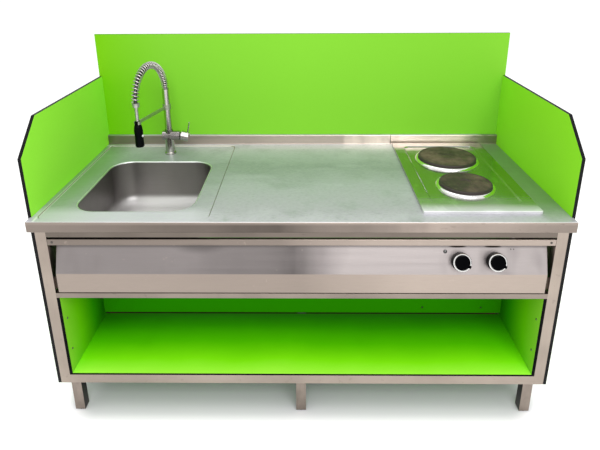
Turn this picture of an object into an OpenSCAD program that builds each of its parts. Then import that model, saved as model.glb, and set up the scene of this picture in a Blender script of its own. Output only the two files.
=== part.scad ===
// Kitchenette unit: a steel tube frame that carries a folded steel worktop with a
// pressed sink and a two-plate electric hob, between two panels and a splash panel.
// +X is to the right, +Y to the back, +Z up. The origin is on the floor, below the
// middle of the unit. "Behind the lip" is measured from the worktop's front face.

/* [Unit] */
// Width over the two side panels
unit_w = 1888; // [1800:8:2300]
// Depth from the worktop's front lip to the back of the splash panel
unit_d = 826; // [800:2:900]
// Height of the worktop above the floor
worktop_h = 850; // [840:5:950]
// Height of the splash panel's top edge above the floor
splash_h = 1375; // [1250:5:1600]
// Thickness of the side, splash, inner and back panels
panel_t = 12; // [8:1:18]
// Number of steps in a full circle
round_steps = 64; // [32:4:96]

/* [Frame] */
// Side of the square frame tube
tube = 38; // [34:1:44]
// Wall of the square tubes
tube_wall = 2; // [1.5:0.5:3]
// How far the worktop's lip stands in front of the frame
overhang = 37; // [30:1:60]
// Height of the frame's underside above the floor
frame_z = 135; // [100:5:160]
// Height of the plastic glide that shows under each leg
glide_h = 5; // [3:1:12]
// Side of the smaller tube behind the compartment
small_tube = 25; // [20:1:30]

/* [Side panels] */
// Height of a side panel's top edge above the worktop
guard_h = 330; // [200:5:380]
// Height of the sloped front corner of a side panel
guard_drop = 115; // [60:1:150]
// Depth of the sloped front corner of a side panel
guard_run = 131; // [60:1:200]

/* [Compartment] */
// Thickness of the shelf board
shelf_t = 8; // [6:1:12]
// Clear depth of the compartment behind the frame's front
comp_d = 350; // [300:5:370]
// Gap below the compartment's back panel
comp_gap = 16; // [10:1:30]
// Height of the back panel
comp_back_h = 400; // [340:2:410]
// Radius of a panel screw's shank
screw_r = 2; // [1.5:0.25:2.5]

/* [Worktop] */
// Thickness of the worktop's steel sheet
sheet_t = 1.5; // [1:0.1:2]
// Radius of a sheet bend, to the middle of the sheet
bend_r = 3; // [2.5:0.5:4]
// Height of the front lip
lip_h = 40; // [36:1:60]
// Height of the upstand at the back
upstand_h = 45; // [35:1:60]
// Depth of the upstand's top ledge
upstand_d = 19; // [15:1:30]
// Depth to which the sink zone is pressed below the worktop
zone_drop = 3; // [2:0.5:5]
// Width of the sink zone
zone_w = 600; // [560:2:620]
// Distance from the left panel to the sink zone
zone_side = 17; // [12:1:40]
// Distance from the lip to the sink zone
zone_front = 22; // [18:1:40]
// Distance from the sink zone to the upstand
zone_back = 20; // [12:1:30]
// Corner radius of the sink zone
zone_r = 30; // [20:1:45]

/* [Sink] */
// How far the bowl sits right of the sink zone's middle
bowl_shift = 11; // [0:1:30]
// Distance from the lip to the bowl's front edge
bowl_front = 92; // [80:1:110]
// Width of the bowl
bowl_w = 430; // [380:2:470]
// Depth of the bowl from front to back
bowl_d = 480; // [400:5:500]
// Height of the bowl's inside
bowl_h = 200; // [160:5:210]
// Corner radius of the bowl seen from above
bowl_r = 82; // [70:2:100]
// Radius between the bowl's walls and its floor
bowl_floor_r = 50; // [35:1:60]
// Radius of the bowl's rolled rim
rim_r = 6; // [4:0.5:8]
// Thickness of the bowl's steel
bowl_t = 1.2; // [1:0.1:1.5]
// Radius of the drain hole
drain_r = 45; // [40:1:47]
// Radius of the waste outlet pipe
pipe_r = 20; // [16:1:21]
// Wall of the waste pipes
pipe_wall = 2; // [1.5:0.5:3]

/* [Hob] */
// Width of the hob tray
tray_w = 417; // [400:1:440]
// Distance from the tray to the right panel
hob_side = 85; // [60:1:110]
// Distance from the tray to the upstand
hob_back = 14; // [10:1:30]
// Width of the tray's front border
border_front = 59; // [50:1:70]
// Width of the tray's back border
border_back = 45; // [40:1:60]
// Height of the tray above the worktop
tray_h = 10; // [8:1:14]
// Width of the pan pressed into the tray
pan_w = 328; // [310:1:340]
// Depth to which the pan is pressed
pan_drop = 4; // [2:0.5:6]
// Diameter of the back hot plate
big_plate_d = 246; // [220:1:250]
// Diameter of the front hot plate
small_plate_d = 200; // [180:1:210]
// Distance between the two hot plates' centres
plate_pitch = 284; // [266:1:300]
// Gap between the front hot plate and the pan's edge
plate_front = 63; // [40:1:80]
// Gap between the back hot plate and the pan's edge
plate_back = 43; // [30:1:60]
// Height of a hot plate's top above the pan
plate_h = 18; // [16:1:22]

/* [Controls] */
// Height of the control panel's flange
flange_h = 25; // [20:1:32]
// Gap above the flange
flange_gap = 8; // [4:1:12]
// Setback of the sloped face's upper edge
slope_run = 43; // [30:1:43]
// Height of the sloped face
slope_h = 116; // [100:1:130]
// Height of the vertical face below the slope
front_h = 79; // [60:1:84]
// Height of the rail under the control panel
low_rail_h = 20; // [18:1:26]
// Distance between the knobs
knob_pitch = 125; // [100:1:140]
// How far the middle of the two knobs sits left of the hob's middle
knob_shift = 5; // [0:1:40]
// Distance from the left knob to the pilot lamp
lamp_pitch = 53; // [45:1:80]
// Diameter of a knob
knob_d = 66; // [50:1:70]
// Height of a knob above the panel
knob_l = 38; // [32:1:44]
// Diameter of a knob's shaft
shaft_d = 6; // [5:0.5:8]

/* [Tap] */
// Distance from the bowl's back edge to the tap's axis
tap_gap = 108; // [90:1:130]
// Height of the mixer's axis above the worktop
mixer_h = 84; // [78:1:100]
// Diameter of the mixer's body
mixer_d = 43; // [38:1:46]
// Height of the riser's top above the worktop
riser_h = 302; // [290:2:340]
// Diameter of the riser
riser_d = 30; // [26:1:32]
// Distance from the riser to the spray head
reach = 252; // [220:2:260]
// Angle by which the spout points left of straight ahead
spout_turn = 13; // [0:1:30]
// Height of the holder arm's middle above the worktop
arm_h = 220; // [205:1:240]
// Diameter of the spring, measured over its wire
spring_d = 31; // [26:1:33]
// Diameter of the spring's wire
wire_d = 4.2; // [2.5:0.1:4.5]
// Number of turns of the spring
spring_turns = 44; // [24:1:46]
// Diameter of the hose inside the spring
hose_d = 14; // [12:0.5:16]
// Length of the spray head
head_l = 95; // [80:1:100]
// Diameter of the spray head
head_d = 36; // [32:1:40]

/* [Hidden] */
$fn = round_steps;
// clearance between pieces that are slid together
fit = 0.3;
// radial clearance of a turning shaft
run_fit = 0.05;
// how far two pieces of one sheet run into each other where they join
lap = 1;

// planes from front to back
y_lip = -unit_d / 2;
y_frame = y_lip + overhang;
y_splash = unit_d / 2 - panel_t;
y_upstand = y_splash - upstand_d;
y_comp = y_frame + comp_d;
// planes from the middle outwards
x_side = unit_w / 2 - panel_t;
x_post = x_side - tube;
x_inner = x_post - panel_t;
// heights
z_rail = worktop_h - lip_h;
z_base = frame_z + tube;
z_shelf = z_base + shelf_t;
z_zone = worktop_h - zone_drop;

// the back panel's foot, and the two rails that it is screwed to
back_rail_up = 16;
z_back = z_shelf + comp_gap;
z_low_back = z_back + back_rail_up;
z_high_back = z_back + comp_back_h - small_tube;

// screws: heights in the inner panels, and distances in from those panels' faces
inner_screw_up = [92, 231];
inner_screw_in = 10;
back_screw_in = [88, 346];
flange_screw_in = 4;
screw_grip = 6;
screw_head_h = 1.6;
screw_head_w = 2.4;
screw_edge = 0.8;

// the sheet's ends in front of the side panels, and the return behind the lip
lip_end = 7;
lip_in = 15;
core_gap = 3;
splash_turn = 35;

// the sink zone lies between the left panel, the lip and the upstand
zone_d = y_upstand - zone_back - y_lip - zone_front;
zone_x = -x_side + zone_side + zone_w / 2;
zone_y = y_lip + zone_front + zone_d / 2;
sink_x = zone_x + bowl_shift;
sink_y = y_lip + bowl_front + bowl_d / 2;
bevel_w = 4;

// control panel, from its flange down
z_flange = z_rail - tube - flange_gap;
z_slope = z_flange - flange_h;
z_bend = z_slope - slope_h;
z_panel = z_bend - front_h;
panel_gap = 2;
slope_a = atan(slope_run / (slope_h + sheet_t / 2));
z_low_rail = z_panel - panel_gap - low_rail_h;
end_gap = 13;
x_end = x_post - end_gap;
end_t = 2;
tab_t = 3;
tab_gap = 14;
tab_l = 16;
flange_in = 12;
panel_in = 20;
end_in = 30;

// bowl and waste
z_floor = z_zone - bowl_h;
dish_r = 150;
dish_drop = 4;
seat_r = 57;
seat_drop = 5;
z_seat = z_floor - dish_drop - seat_drop;
waste_l = 46;
waste_wall = 2.5;
flange_t = 2.5;
trap_r = 35;
trap_h = 120;
trap_wall = 3;
trap_neck_l = 68;
trap_side = 40;
z_waste = z_seat - bowl_t - waste_l;
z_trap = z_waste - trap_neck_l;
z_outlet = z_trap - trap_side;
// the outlet pipe's end, and the ring that marks how far it goes into the drain
pipe_end_in = 8;
pipe_mark = 50;
mark_w = 2;
mark_depth = 0.5;

// hob: the pan follows the plates, and the tray follows the pan
pan_d = plate_front + small_plate_d / 2 + plate_pitch + big_plate_d / 2 + plate_back;
tray_d = border_front + pan_d + border_back;
hob_x = x_side - hob_side - tray_w / 2;
tray_y = y_upstand - hob_back - tray_d / 2;
pan_y = y_upstand - hob_back - border_back - pan_d / 2;
back_plate_y = pan_y + pan_d / 2 - plate_back - big_plate_d / 2;
front_plate_y = back_plate_y - plate_pitch;
z_tray = worktop_h + tray_h;
z_pan = z_tray - pan_drop;
tray_edge_r = 2;
tray_corner_r = 6;
pan_bevel = 6;
cut_margin = 26;
shield_t = 1;
shield_side = 15;
shield_end = 10;
shield_drop = 6;

// the rings and the plates that stand in the pan
ring_h = 9;
ring_w = 14;
ring_gap = 3;
ring_step_w = 5;
ring_step_h = 3;
plate_edge = 2.5;
plate_dish_r = 22;
plate_dish_w = 3;
plate_dish_drop = 1.5;
plate_wall = 7;
plate_below = 14;
groove_in = 8;
groove_w = 2;
groove_drop = 0.6;
stud_r = 4;
stud_l = 24;
plug_size = [36, 16, 9];
plug_low = 22;

// distances up the slope from its lower bend
knob_up = 48;
lamp_up = 82;
knob_x = hob_x - knob_shift - knob_pitch / 2;
lamp_x = knob_x - lamp_pitch;
// sizes at the control shafts
bush_r = 5;
bush_l = 2.5;
lamp_r = 5;
switch_w = 44;
switch_h = 34;
shaft_in = 24;
// sizes of the knob: its front is at knob_face, and a ring is set into that
knob_base = bush_l + 0.8;
knob_face = knob_l - 8;
ring_out = knob_d / 2 - 1;
ring_in = knob_d / 2 - 6.5;
ring_depth = 3;
shaft_grip = 12;

// the electric terminal box on the upper back rail, and the gland below it
box_x = hob_x;
box_size = [110, 60, 90];
box_wall = 3;
box_lid_t = 4;
box_low = 40;
z_box = z_high_back - box_low;
y_box = y_comp + panel_t + small_tube;
gland_r = 5.5;
gland_stub_r = 8;

// tap
tap_x = sink_x;
tap_y = sink_y + bowl_d / 2 + tap_gap;
z_mixer = worktop_h + mixer_h;
z_riser = worktop_h + riser_h;
z_arm = worktop_h + arm_h;
base_h = 8;
base_w = 4.5;
shank_r = 16.5;
shank_below = 18;
nut_h = 10;
nut_w = 9;
boss_h = 7;
boss_w = 3;
z_shank = z_rail - shank_below;
z_boss = z_mixer + mixer_d / 2 + boss_h;
cap_tilt = 12.5;
cap_gap = 6;
cap_l = 34;
pin_l = 50;
pin_r = 2.6;
mixer_left = 28;
x_pivot = tap_x + 56;
ball_r = 15;
ball_neck_r = 9;
ball_neck_l = 28;
spigot_r = 10;
spigot_l = 20;
arch_r = reach / 2;
arch_up = 2;
z_arch = z_riser + arch_up;
arm_t = 13;
arm_bar_t = 5;
collar_w = 3.5;
collar_h = 24;
arm_ring_w = 4.5;
neck_r = 9.5;
neck_h = 14;
z_head = z_arm - arm_t / 2;
sleeve_h = 16;
sleeve_drop = 16;
z_sleeve = z_riser - sleeve_drop;
hose_in = 30;
button_r = 5;
button_up = 47;
button_l = 6;
button_in = 7;
button_travel = 2;

// the two copper tails below the tap
tail_r = 5;
tail_wall = 1;
tail_in = 20;
tail_grip = 3;
tail_collar = 0.5;
tail_x = 8;
tail_tilt = 6;
tail_l = 240;

// ---- shared shapes ----

// A box between two opposite corners
module box(low, high) {
    translate(low) cube(high - low);
}

// A square tube, closed or open at its ends, between two opposite corners
module tube_box(low, high, along, wall) {
    cut = [for (i = [0:2]) i == along ? -1 : wall];
    difference() {
        box(low, high);
        box(low + cut, high - cut);
    }
}

// Lays a profile, drawn as (Y, Z), along X
module along_x(x0, x1) {
    translate([x0, 0, 0]) rotate([90, 0, 90]) linear_extrude(x1 - x0) children();
}

// Lays a profile, drawn as (X, Z), along Y
module along_y(y0, y1) {
    translate([0, y1, 0]) rotate([90, 0, 0]) linear_extrude(y1 - y0) children();
}

// A flat rectangle with round corners
module round_rect(w, d, r) {
    square([w - 2 * r, d], center = true);
    square([w, d - 2 * r], center = true);
    for (sx = [-1, 1], sy = [-1, 1])
        translate([sx * (w / 2 - r), sy * (d / 2 - r)]) circle(r);
}

// Carries a profile round the edge of a rectangle with round corners. The profile's
// X is the distance outwards from the edge, and its Y is the height.
module edge_sweep(w, d, r) {
    for (i = [0:3]) {
        across = i % 2 == 0 ? w : d;
        along = i % 2 == 0 ? d : w;
        rotate(90 * i) {
            translate([across / 2, along / 2 - r, 0])
                rotate([90, 0, 0]) linear_extrude(along - 2 * r) children();
            translate([across / 2 - r, along / 2 - r, 0])
                rotate_extrude(angle = 90) translate([r, 0]) children();
        }
    }
}

// Points of a round bend at b, on the way from a to c
function bend(a, b, c, r, n = 6) =
    let (u = (a - b) / norm(a - b), v = (c - b) / norm(c - b),
         half = acos(u * v) / 2,
         mid = b + (u + v) / norm(u + v) * r / sin(half),
         s = b + u * r / tan(half) - mid,
         e = b + v * r / tan(half) - mid,
         a0 = atan2(s[1], s[0]),
         turn = (atan2(e[1], e[0]) - a0 + 540) % 360 - 180)
    [for (i = [0:n]) mid + r * [cos(a0 + turn * i / n), sin(a0 + turn * i / n)]];

// A path with all its inner corners bent to one radius
function bent_path(p, r) = [
    p[0],
    for (i = [1:len(p) - 2]) each bend(p[i - 1], p[i], p[i + 1], r),
    p[len(p) - 1]
];

// Sideways step to the sheet's face at point i of a path
function side_step(p, i) =
    let (last = len(p) - 1,
         a = p[i] - p[max(i - 1, 0)], b = p[min(i + 1, last)] - p[i],
         u = i == 0 ? b / norm(b) : a / norm(a),
         v = i == last ? u : b / norm(b),
         m = (u + v) / norm(u + v))
    [-m[1], m[0]] / (m * u);

// One face of a sheet whose middle follows a path, t to the left of it
function sheet_face(p, t) = [for (i = [0:len(p) - 1]) p[i] + side_step(p, i) * t];

// The section of a folded sheet whose middle follows a path
module folded(points, t, r) {
    p = bent_path(points, r);
    right = sheet_face(p, -t / 2);
    polygon(concat(sheet_face(p, t / 2), [for (i = [len(p) - 1:-1:0]) right[i]]));
}

// ---- frame ----

// A corner post, closed at its foot, with the holes for the inner panel's screws
module post(side, y0, drilled) {
    x0 = side > 0 ? x_post : -x_side;
    color("silver") difference() {
        box([x0, y0, frame_z], [x0 + tube, y0 + tube, z_rail]);
        box([x0 + tube_wall, y0 + tube_wall, frame_z + tube_wall],
            [x0 + tube - tube_wall, y0 + tube - tube_wall, z_rail + 1]);
        if (drilled) inner_screw_holes(side);
    }
}

module post_front_left() { post(-1, y_frame, true); }
module post_front_right() { post(1, y_frame, true); }
module post_back_left() { post(-1, y_splash - tube, false); }
module post_back_right() { post(1, y_splash - tube, false); }

// A rail across the unit, between two posts
module cross_rail(y0, z0) {
    color("silver") tube_box([-x_post, y0, z0], [x_post, y0 + tube, z0 + tube], 0, tube_wall);
}

// A rail from the front post to the back post
module depth_rail(x0, z0) {
    color("silver") tube_box([x0, y_frame + tube, z0],
        [x0 + tube, y_splash - tube, z0 + tube], 1, tube_wall);
}

module top_rail_front() { cross_rail(y_frame, z_rail - tube); }
module top_rail_back() { cross_rail(y_splash - tube, z_rail - tube); }
module top_rail_left() { depth_rail(-x_side, z_rail - tube); }
module top_rail_right() { depth_rail(x_post, z_rail - tube); }
module base_rail_front() { cross_rail(y_frame, frame_z); }
module base_rail_back() { cross_rail(y_splash - tube, frame_z); }
module base_rail_left() { depth_rail(-x_side, frame_z); }
module base_rail_right() { depth_rail(x_post, frame_z); }
module base_bearer() { depth_rail(-tube / 2, frame_z); }

// Runs its children at the low corner of each leg
module each_leg() {
    for (x0 = [-x_post, -tube / 2, x_post - tube], y0 = [y_frame, y_splash - tube])
        translate([x0, y0, 0]) children();
}

module legs() {
    color("silver") each_leg()
        tube_box([0, 0, glide_h], [tube, tube, frame_z], 2, tube_wall);
}

// A plastic foot whose plug fills the end of the leg
module glides() {
    plug = tube_wall + fit;
    color("#2b2b2b") each_leg() {
        translate([tube / 2, tube / 2, 0]) {
            cylinder(h = glide_h / 2, r1 = tube / 2 - 4, r2 = tube / 2 - 2);
            translate([0, 0, glide_h / 2]) cylinder(h = glide_h / 2, r = tube / 2 - 2);
        }
        box([plug, plug, glide_h], [tube - plug, tube - plug, glide_h + 18]);
    }
}

// The frame behind the compartment: two uprights and two rails in smaller tube
module back_frame() {
    x1 = x_side - small_tube;
    y0 = y_comp + panel_t;
    color("silver") {
        for (x0 = [-x_side, x1])
            tube_box([x0, y0, z_base], [x0 + small_tube, y0 + small_tube, z_rail - tube],
                2, tube_wall);
        for (z0 = [z_low_back, z_high_back]) difference() {
            tube_box([-x1, y0, z0], [x1, y0 + small_tube, z0 + small_tube], 0, tube_wall);
            back_screw_holes();
        }
    }
}

// ---- panels ----

// Outline of a side panel, drawn as (Y, Z)
module side_outline() {
    polygon([
        [y_frame, frame_z], [y_splash, frame_z], [y_splash, worktop_h + guard_h],
        [y_frame + guard_run, worktop_h + guard_h],
        [y_frame, worktop_h + guard_h - guard_drop]
    ]);
}

module side_panel_left() {
    color("#7ed321") along_x(-x_side - panel_t, -x_side) side_outline();
}

module side_panel_right() {
    color("#7ed321") along_x(x_side, x_side + panel_t) side_outline();
}

module splash_panel() {
    color("#7ed321") box([-x_side - panel_t, y_splash, z_rail - tube],
        [x_side + panel_t, y_splash + panel_t, splash_h]);
}

// Places of the screws through the back panel
back_screws = [
    for (in = back_screw_in) [x_inner - in, z_low_back + small_tube / 2],
    for (side = [-1:1]) [side * (x_inner - back_screw_in[0]), z_high_back + small_tube / 2]
];

// Runs its children at each inner panel screw on one side, pointing into the post
module at_inner_screws(side) {
    for (up = inner_screw_up)
        translate([side * x_inner, y_frame + tube / 2 + inner_screw_in, z_shelf + up])
            rotate([0, side * 90, 0]) children();
}

// Runs its children at each back panel screw, pointing backwards
module at_back_screws() {
    for (s = back_screws)
        translate([s[0], y_comp, s[1]]) rotate([-90, 0, 0]) children();
}

// Runs its children at the screw near each end of the control panel's flange
module at_flange_screws() {
    for (side = [-1, 1])
        translate([side * (x_end - flange_screw_in), y_frame, (z_flange + z_slope) / 2])
            rotate([-90, 0, 0]) children();
}

module inner_screw_holes(side) {
    at_inner_screws(side) cylinder(h = panel_t + screw_grip + 2, r = screw_r);
}

module back_screw_holes() {
    at_back_screws() cylinder(h = panel_t + screw_grip + 2, r = screw_r);
}

module inner_panel(side) {
    x0 = side > 0 ? x_inner : -x_post;
    color("#7ed321") difference() {
        box([x0, y_frame, z_shelf], [x0 + panel_t, y_comp + panel_t, z_low_rail]);
        inner_screw_holes(side);
    }
}

module inner_panel_left() { inner_panel(-1); }
module inner_panel_right() { inner_panel(1); }

module compartment_back() {
    color("#7ed321") difference() {
        box([-x_inner, y_comp, z_back], [x_inner, y_comp + panel_t, z_back + comp_back_h]);
        back_screw_holes();
        translate([sink_x, y_comp, z_outlet]) rotate([-90, 0, 0])
            translate([0, 0, -1]) cylinder(h = panel_t + 2, r = pipe_r + 3);
    }
}

// The shelf fits between the front posts and rests on the rails beside them
module shelf() {
    y1 = y_comp + panel_t;
    color("#7ed321") {
        box([-x_post, y_frame, z_base], [x_post, y1, z_shelf]);
        for (x0 = [-x_side, x_post])
            box([x0, y_frame + tube, z_base], [x0 + tube, y1, z_shelf]);
    }
}

// A pan-head screw with a six-sided socket, its head in front of the XY plane
module screw(l) {
    head_r = screw_r + screw_head_w;
    difference() {
        union() {
            translate([0, 0, -screw_head_h])
                cylinder(h = screw_head_h, r1 = head_r - screw_edge, r2 = head_r);
            cylinder(h = l, r = screw_r);
        }
        translate([0, 0, -screw_head_h - 1]) cylinder(h = 2, r = screw_r * 0.7, $fn = 6);
    }
}

module screws() {
    color("dimgray") {
        for (side = [-1, 1]) at_inner_screws(side) screw(panel_t + screw_grip);
        at_back_screws() screw(panel_t + screw_grip);
        at_flange_screws() screw(sheet_t + tab_t + 3);
    }
}

// ---- worktop ----

// Opening under the hob, with its plan size less a margin on each side
module hob_cut(z0, z1, margin) {
    box([hob_x - tray_w / 2 + margin, tray_y - tray_d / 2 + margin, z0],
        [hob_x + tray_w / 2 - margin, tray_y + tray_d / 2 - margin, z1]);
}

// One sheet, folded at the front into a lip and at the back into an upstand, with
// the sink zone pressed down and the cut-outs for the bowl, the tap and the hob. Its
// lip runs on in front of the side panels, and the rest fits between them.
module worktop_sheet() {
    half = sheet_t / 2;
    x1 = x_side - fit;
    x_lip = unit_w / 2 - lip_end;
    ledge = worktop_h + upstand_h - half;
    lip = [
        [y_lip + lip_in, z_rail + half], [y_lip + half, z_rail + half],
        [y_lip + half, worktop_h - half], [y_upstand + half, worktop_h - half]
    ];
    color("gainsboro") {
        difference() {
            union() {
                along_x(-x_lip, x_lip) folded(concat(lip, [
                    [y_upstand + half, ledge], [y_splash - half, ledge],
                    [y_splash - half, ledge - splash_turn]
                ]), sheet_t, bend_r);
                for (x0 = [-x_lip, x1 - sheet_t]) along_x(x0, x0 + x_lip - x1 + sheet_t)
                    polygon(concat(sheet_face(bent_path(lip, bend_r), 0), [[y_upstand, z_rail]]));
            }
            for (x0 = [-x_lip - 1, x1])
                box([x0, y_frame - fit, z_rail - 1], [x0 + x_lip + 1 - x1, y_splash + 1, ledge + 10]);
            translate([zone_x, zone_y, z_zone - 10]) linear_extrude(20)
                round_rect(zone_w, zone_d, zone_r);
            hob_cut(z_rail + 10, worktop_h + 1, cut_margin);
        }
        sink_zone();
    }
}

// Section of a pressed edge: a slope of width w and height h, flush with the sheet above
// and below it, into which it runs by the lap
module pressed_edge(w, h) {
    polygon([
        [-w - lap, 0], [-w, 0], [0, h], [lap, h],
        [lap, h - sheet_t], [0, h - sheet_t], [-w, -sheet_t], [-w - lap, -sheet_t]
    ]);
}

// The pressed zone: a sloped edge, then a flat that is cut for the bowl and the tap
module sink_zone() {
    flat_w = zone_w - 2 * bevel_w;
    flat_d = zone_d - 2 * bevel_w;
    translate([zone_x, zone_y, z_zone]) edge_sweep(zone_w, zone_d, zone_r)
        pressed_edge(bevel_w, zone_drop);
    difference() {
        translate([zone_x, zone_y, z_zone - sheet_t]) linear_extrude(sheet_t)
            round_rect(flat_w, flat_d, zone_r - bevel_w);
        translate([sink_x, sink_y, z_zone - 10]) linear_extrude(20)
            round_rect(bowl_w + 2 * rim_r, bowl_d + 2 * rim_r, bowl_r + rim_r);
        translate([tap_x, tap_y, z_zone - 10]) cylinder(h = 20, r = shank_r + 0.5);
    }
}

// A board that fills the worktop, cut round the bowl, the tap and the hob
module worktop_core() {
    rim = rim_r + 2;
    z1 = worktop_h - sheet_t;
    x1 = x_side - fit - sheet_t;
    color("burlywood") difference() {
        box([-x1, y_lip + lip_in + core_gap, z_rail], [x1, y_upstand - core_gap, z1]);
        translate([zone_x, zone_y, z_zone - sheet_t - 1]) linear_extrude(20)
            round_rect(zone_w + 2 * core_gap, zone_d + 2 * core_gap, zone_r + core_gap);
        translate([sink_x, sink_y, z_rail - 1]) linear_extrude(lip_h)
            round_rect(bowl_w + 2 * rim, bowl_d + 2 * rim, bowl_r + rim);
        translate([tap_x, tap_y, z_rail - 1]) cylinder(h = lip_h, r = shank_r + 1);
        hob_cut(z_rail - 1, z1 + 1, cut_margin);
    }
}

// ---- sink ----

// Section of the bowl's rim, wall and floor bend, from its inner edge outwards
module bowl_section() {
    translate([rim_r, -rim_r]) intersection() {
        difference() { circle(rim_r); circle(rim_r - bowl_t); }
        translate([-rim_r, 0]) square(rim_r);
    }
    translate([0, -bowl_h + bowl_floor_r])
        square([bowl_t, bowl_h - bowl_floor_r - rim_r]);
    translate([-bowl_floor_r, -bowl_h + bowl_floor_r]) intersection() {
        difference() { circle(bowl_floor_r + bowl_t); circle(bowl_floor_r); }
        translate([0, -bowl_floor_r - bowl_t]) square(bowl_floor_r + bowl_t);
    }
}

// The pressed bowl, with a floor that falls to the seat of the waste
module sink_bowl() {
    floor_w = bowl_w - 2 * bowl_floor_r;
    floor_d = bowl_d - 2 * bowl_floor_r;
    color("lightgray") {
        translate([sink_x, sink_y, z_zone]) edge_sweep(bowl_w, bowl_d, bowl_r) bowl_section();
        translate([sink_x, sink_y, z_floor]) {
            difference() {
                translate([0, 0, -bowl_t]) linear_extrude(bowl_t)
                    round_rect(floor_w, floor_d, bowl_r - bowl_floor_r);
                translate([0, 0, -10]) cylinder(h = 20, r = dish_r);
            }
            rotate_extrude() polygon([
                [dish_r, 0], [seat_r, -dish_drop], [seat_r, z_seat - z_floor],
                [drain_r, z_seat - z_floor], [drain_r, z_seat - z_floor - bowl_t],
                [seat_r + bowl_t, z_seat - z_floor - bowl_t],
                [seat_r + bowl_t, -dish_drop - bowl_t], [dish_r, -bowl_t]
            ]);
        }
    }
}

// The steel ring on the seat, with the sleeve that carries the strainer
module waste_flange() {
    sleeve_r = drain_r - 1;
    color("silver") translate([sink_x, sink_y, z_seat]) rotate_extrude() polygon([
        [sleeve_r - 1.5, -30], [sleeve_r, -30], [sleeve_r, 0], [seat_r - 1, 0],
        [seat_r - 1, flange_t - 1], [seat_r - 3, flange_t], [sleeve_r - 1.5, flange_t]
    ]);
}

// The lift-out strainer: a perforated cup with a knob in its middle
module strainer() {
    r = drain_r - 3.5;
    hole_rows = [[6, 12], [12, 20], [18, 28]];
    lip_z = 27;
    color("gainsboro") translate([sink_x, sink_y, z_seat + flange_t + fit - lip_z]) difference() {
        rotate_extrude() polygon([
            [0, 0], [r - 6, 0], [r - 1, 18], [r - 1, lip_z], [r + 3, lip_z],
            [r + 3, lip_z + 1], [r - 2, lip_z + 1], [r - 2, 18.3], [r - 6.8, 1.2],
            [3, 1.2], [3, 20], [8, 22], [8, lip_z], [0, lip_z + 1]
        ]);
        for (row = hole_rows, i = [0:row[0] - 1])
            rotate(360 * i / row[0]) translate([row[1], 0, -1]) cylinder(h = 3, r = 2);
    }
}

// The cup that is clamped under the bowl
module waste_body() {
    r = drain_r + 3;
    w = waste_wall;
    color("whitesmoke") translate([sink_x, sink_y, z_waste]) rotate_extrude() polygon([
        [pipe_r, -14], [pipe_r + w, -14], [pipe_r + w, 0], [r, 12], [r, waste_l - 4],
        [seat_r + 2, waste_l - 4], [seat_r + 2, waste_l], [r - w, waste_l],
        [r - w, 13], [pipe_r, 2]
    ]);
}

// A bottle trap below the waste, with its cleaning cup and slip nuts
module bottle_trap() {
    color("whitesmoke") translate([sink_x, sink_y, 0]) difference() {
        union() {
            translate([0, 0, z_trap - trap_h]) cylinder(h = trap_h, r = trap_r);
            translate([0, 0, z_trap - trap_h + 18]) cylinder(h = 12, r = trap_r + 4, $fn = 12);
            translate([0, 0, z_trap]) cylinder(h = 10, r1 = trap_r, r2 = pipe_r + 8);
            translate([0, 0, z_trap + 10]) cylinder(h = 16, r = pipe_r + 8);
            translate([0, 0, z_trap]) cylinder(h = z_waste - z_trap, r = pipe_r);
            translate([0, 0, z_outlet]) rotate([-90, 0, 0])
                cylinder(h = trap_r + 6, r = pipe_r + 5);
        }
        translate([0, 0, z_trap - trap_h + trap_wall])
            cylinder(h = trap_h - trap_wall, r = trap_r - trap_wall);
        translate([0, 0, z_trap - 5]) cylinder(h = 200, r = pipe_r - pipe_wall);
        translate([0, 0, z_outlet]) rotate([-90, 0, 0]) cylinder(h = trap_r + 10, r = pipe_r);
    }
}

// The outlet pipe, from the trap through the back panel to the back of the unit, with
// the ring pressed into it that marks how far it goes into the drain
module outlet_pipe() {
    y0 = sink_y + trap_r - 2;
    l = y_splash - pipe_end_in - y0;
    color("whitesmoke") translate([sink_x, y0, z_outlet]) rotate([-90, 0, 0]) difference() {
        cylinder(h = l, r = pipe_r);
        translate([0, 0, -1]) cylinder(h = l + 2, r = pipe_r - pipe_wall);
        translate([0, 0, l - pipe_mark - mark_w]) rotate_extrude()
            translate([pipe_r - mark_depth, 0]) square([mark_depth + 1, mark_w]);
    }
}

// ---- hob ----

// The tray: folded edges on the worktop, a pressed pan, and a hole for each plate
module hob_tray() {
    e = tray_edge_r;
    b = pan_bevel;
    color("gainsboro") {
        translate([hob_x, tray_y, z_tray]) {
            edge_sweep(tray_w, tray_d, tray_corner_r) {
                translate([-e, -e]) intersection() {
                    difference() { circle(e); circle(e - sheet_t); }
                    square(e);
                }
                translate([-e - lap, -sheet_t]) square([lap, sheet_t]);
                translate([-sheet_t, -tray_h]) square([sheet_t, tray_h - e]);
            }
            difference() {
                translate([0, 0, -sheet_t]) linear_extrude(sheet_t)
                    round_rect(tray_w - 2 * e, tray_d - 2 * e, tray_corner_r - e);
                translate([0, pan_y - tray_y, -5]) linear_extrude(10)
                    round_rect(pan_w, pan_d, zone_r);
            }
        }
        translate([hob_x, pan_y, z_pan]) {
            edge_sweep(pan_w, pan_d, zone_r) pressed_edge(b, pan_drop);
            difference() {
                translate([0, 0, -sheet_t]) linear_extrude(sheet_t)
                    round_rect(pan_w - 2 * b, pan_d - 2 * b, zone_r - b);
                translate([0, back_plate_y - pan_y, -5])
                    cylinder(h = 10, r = big_plate_d / 2 - ring_step_w);
                translate([0, front_plate_y - pan_y, -5])
                    cylinder(h = 10, r = small_plate_d / 2 - ring_step_w);
            }
        }
    }
}

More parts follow.
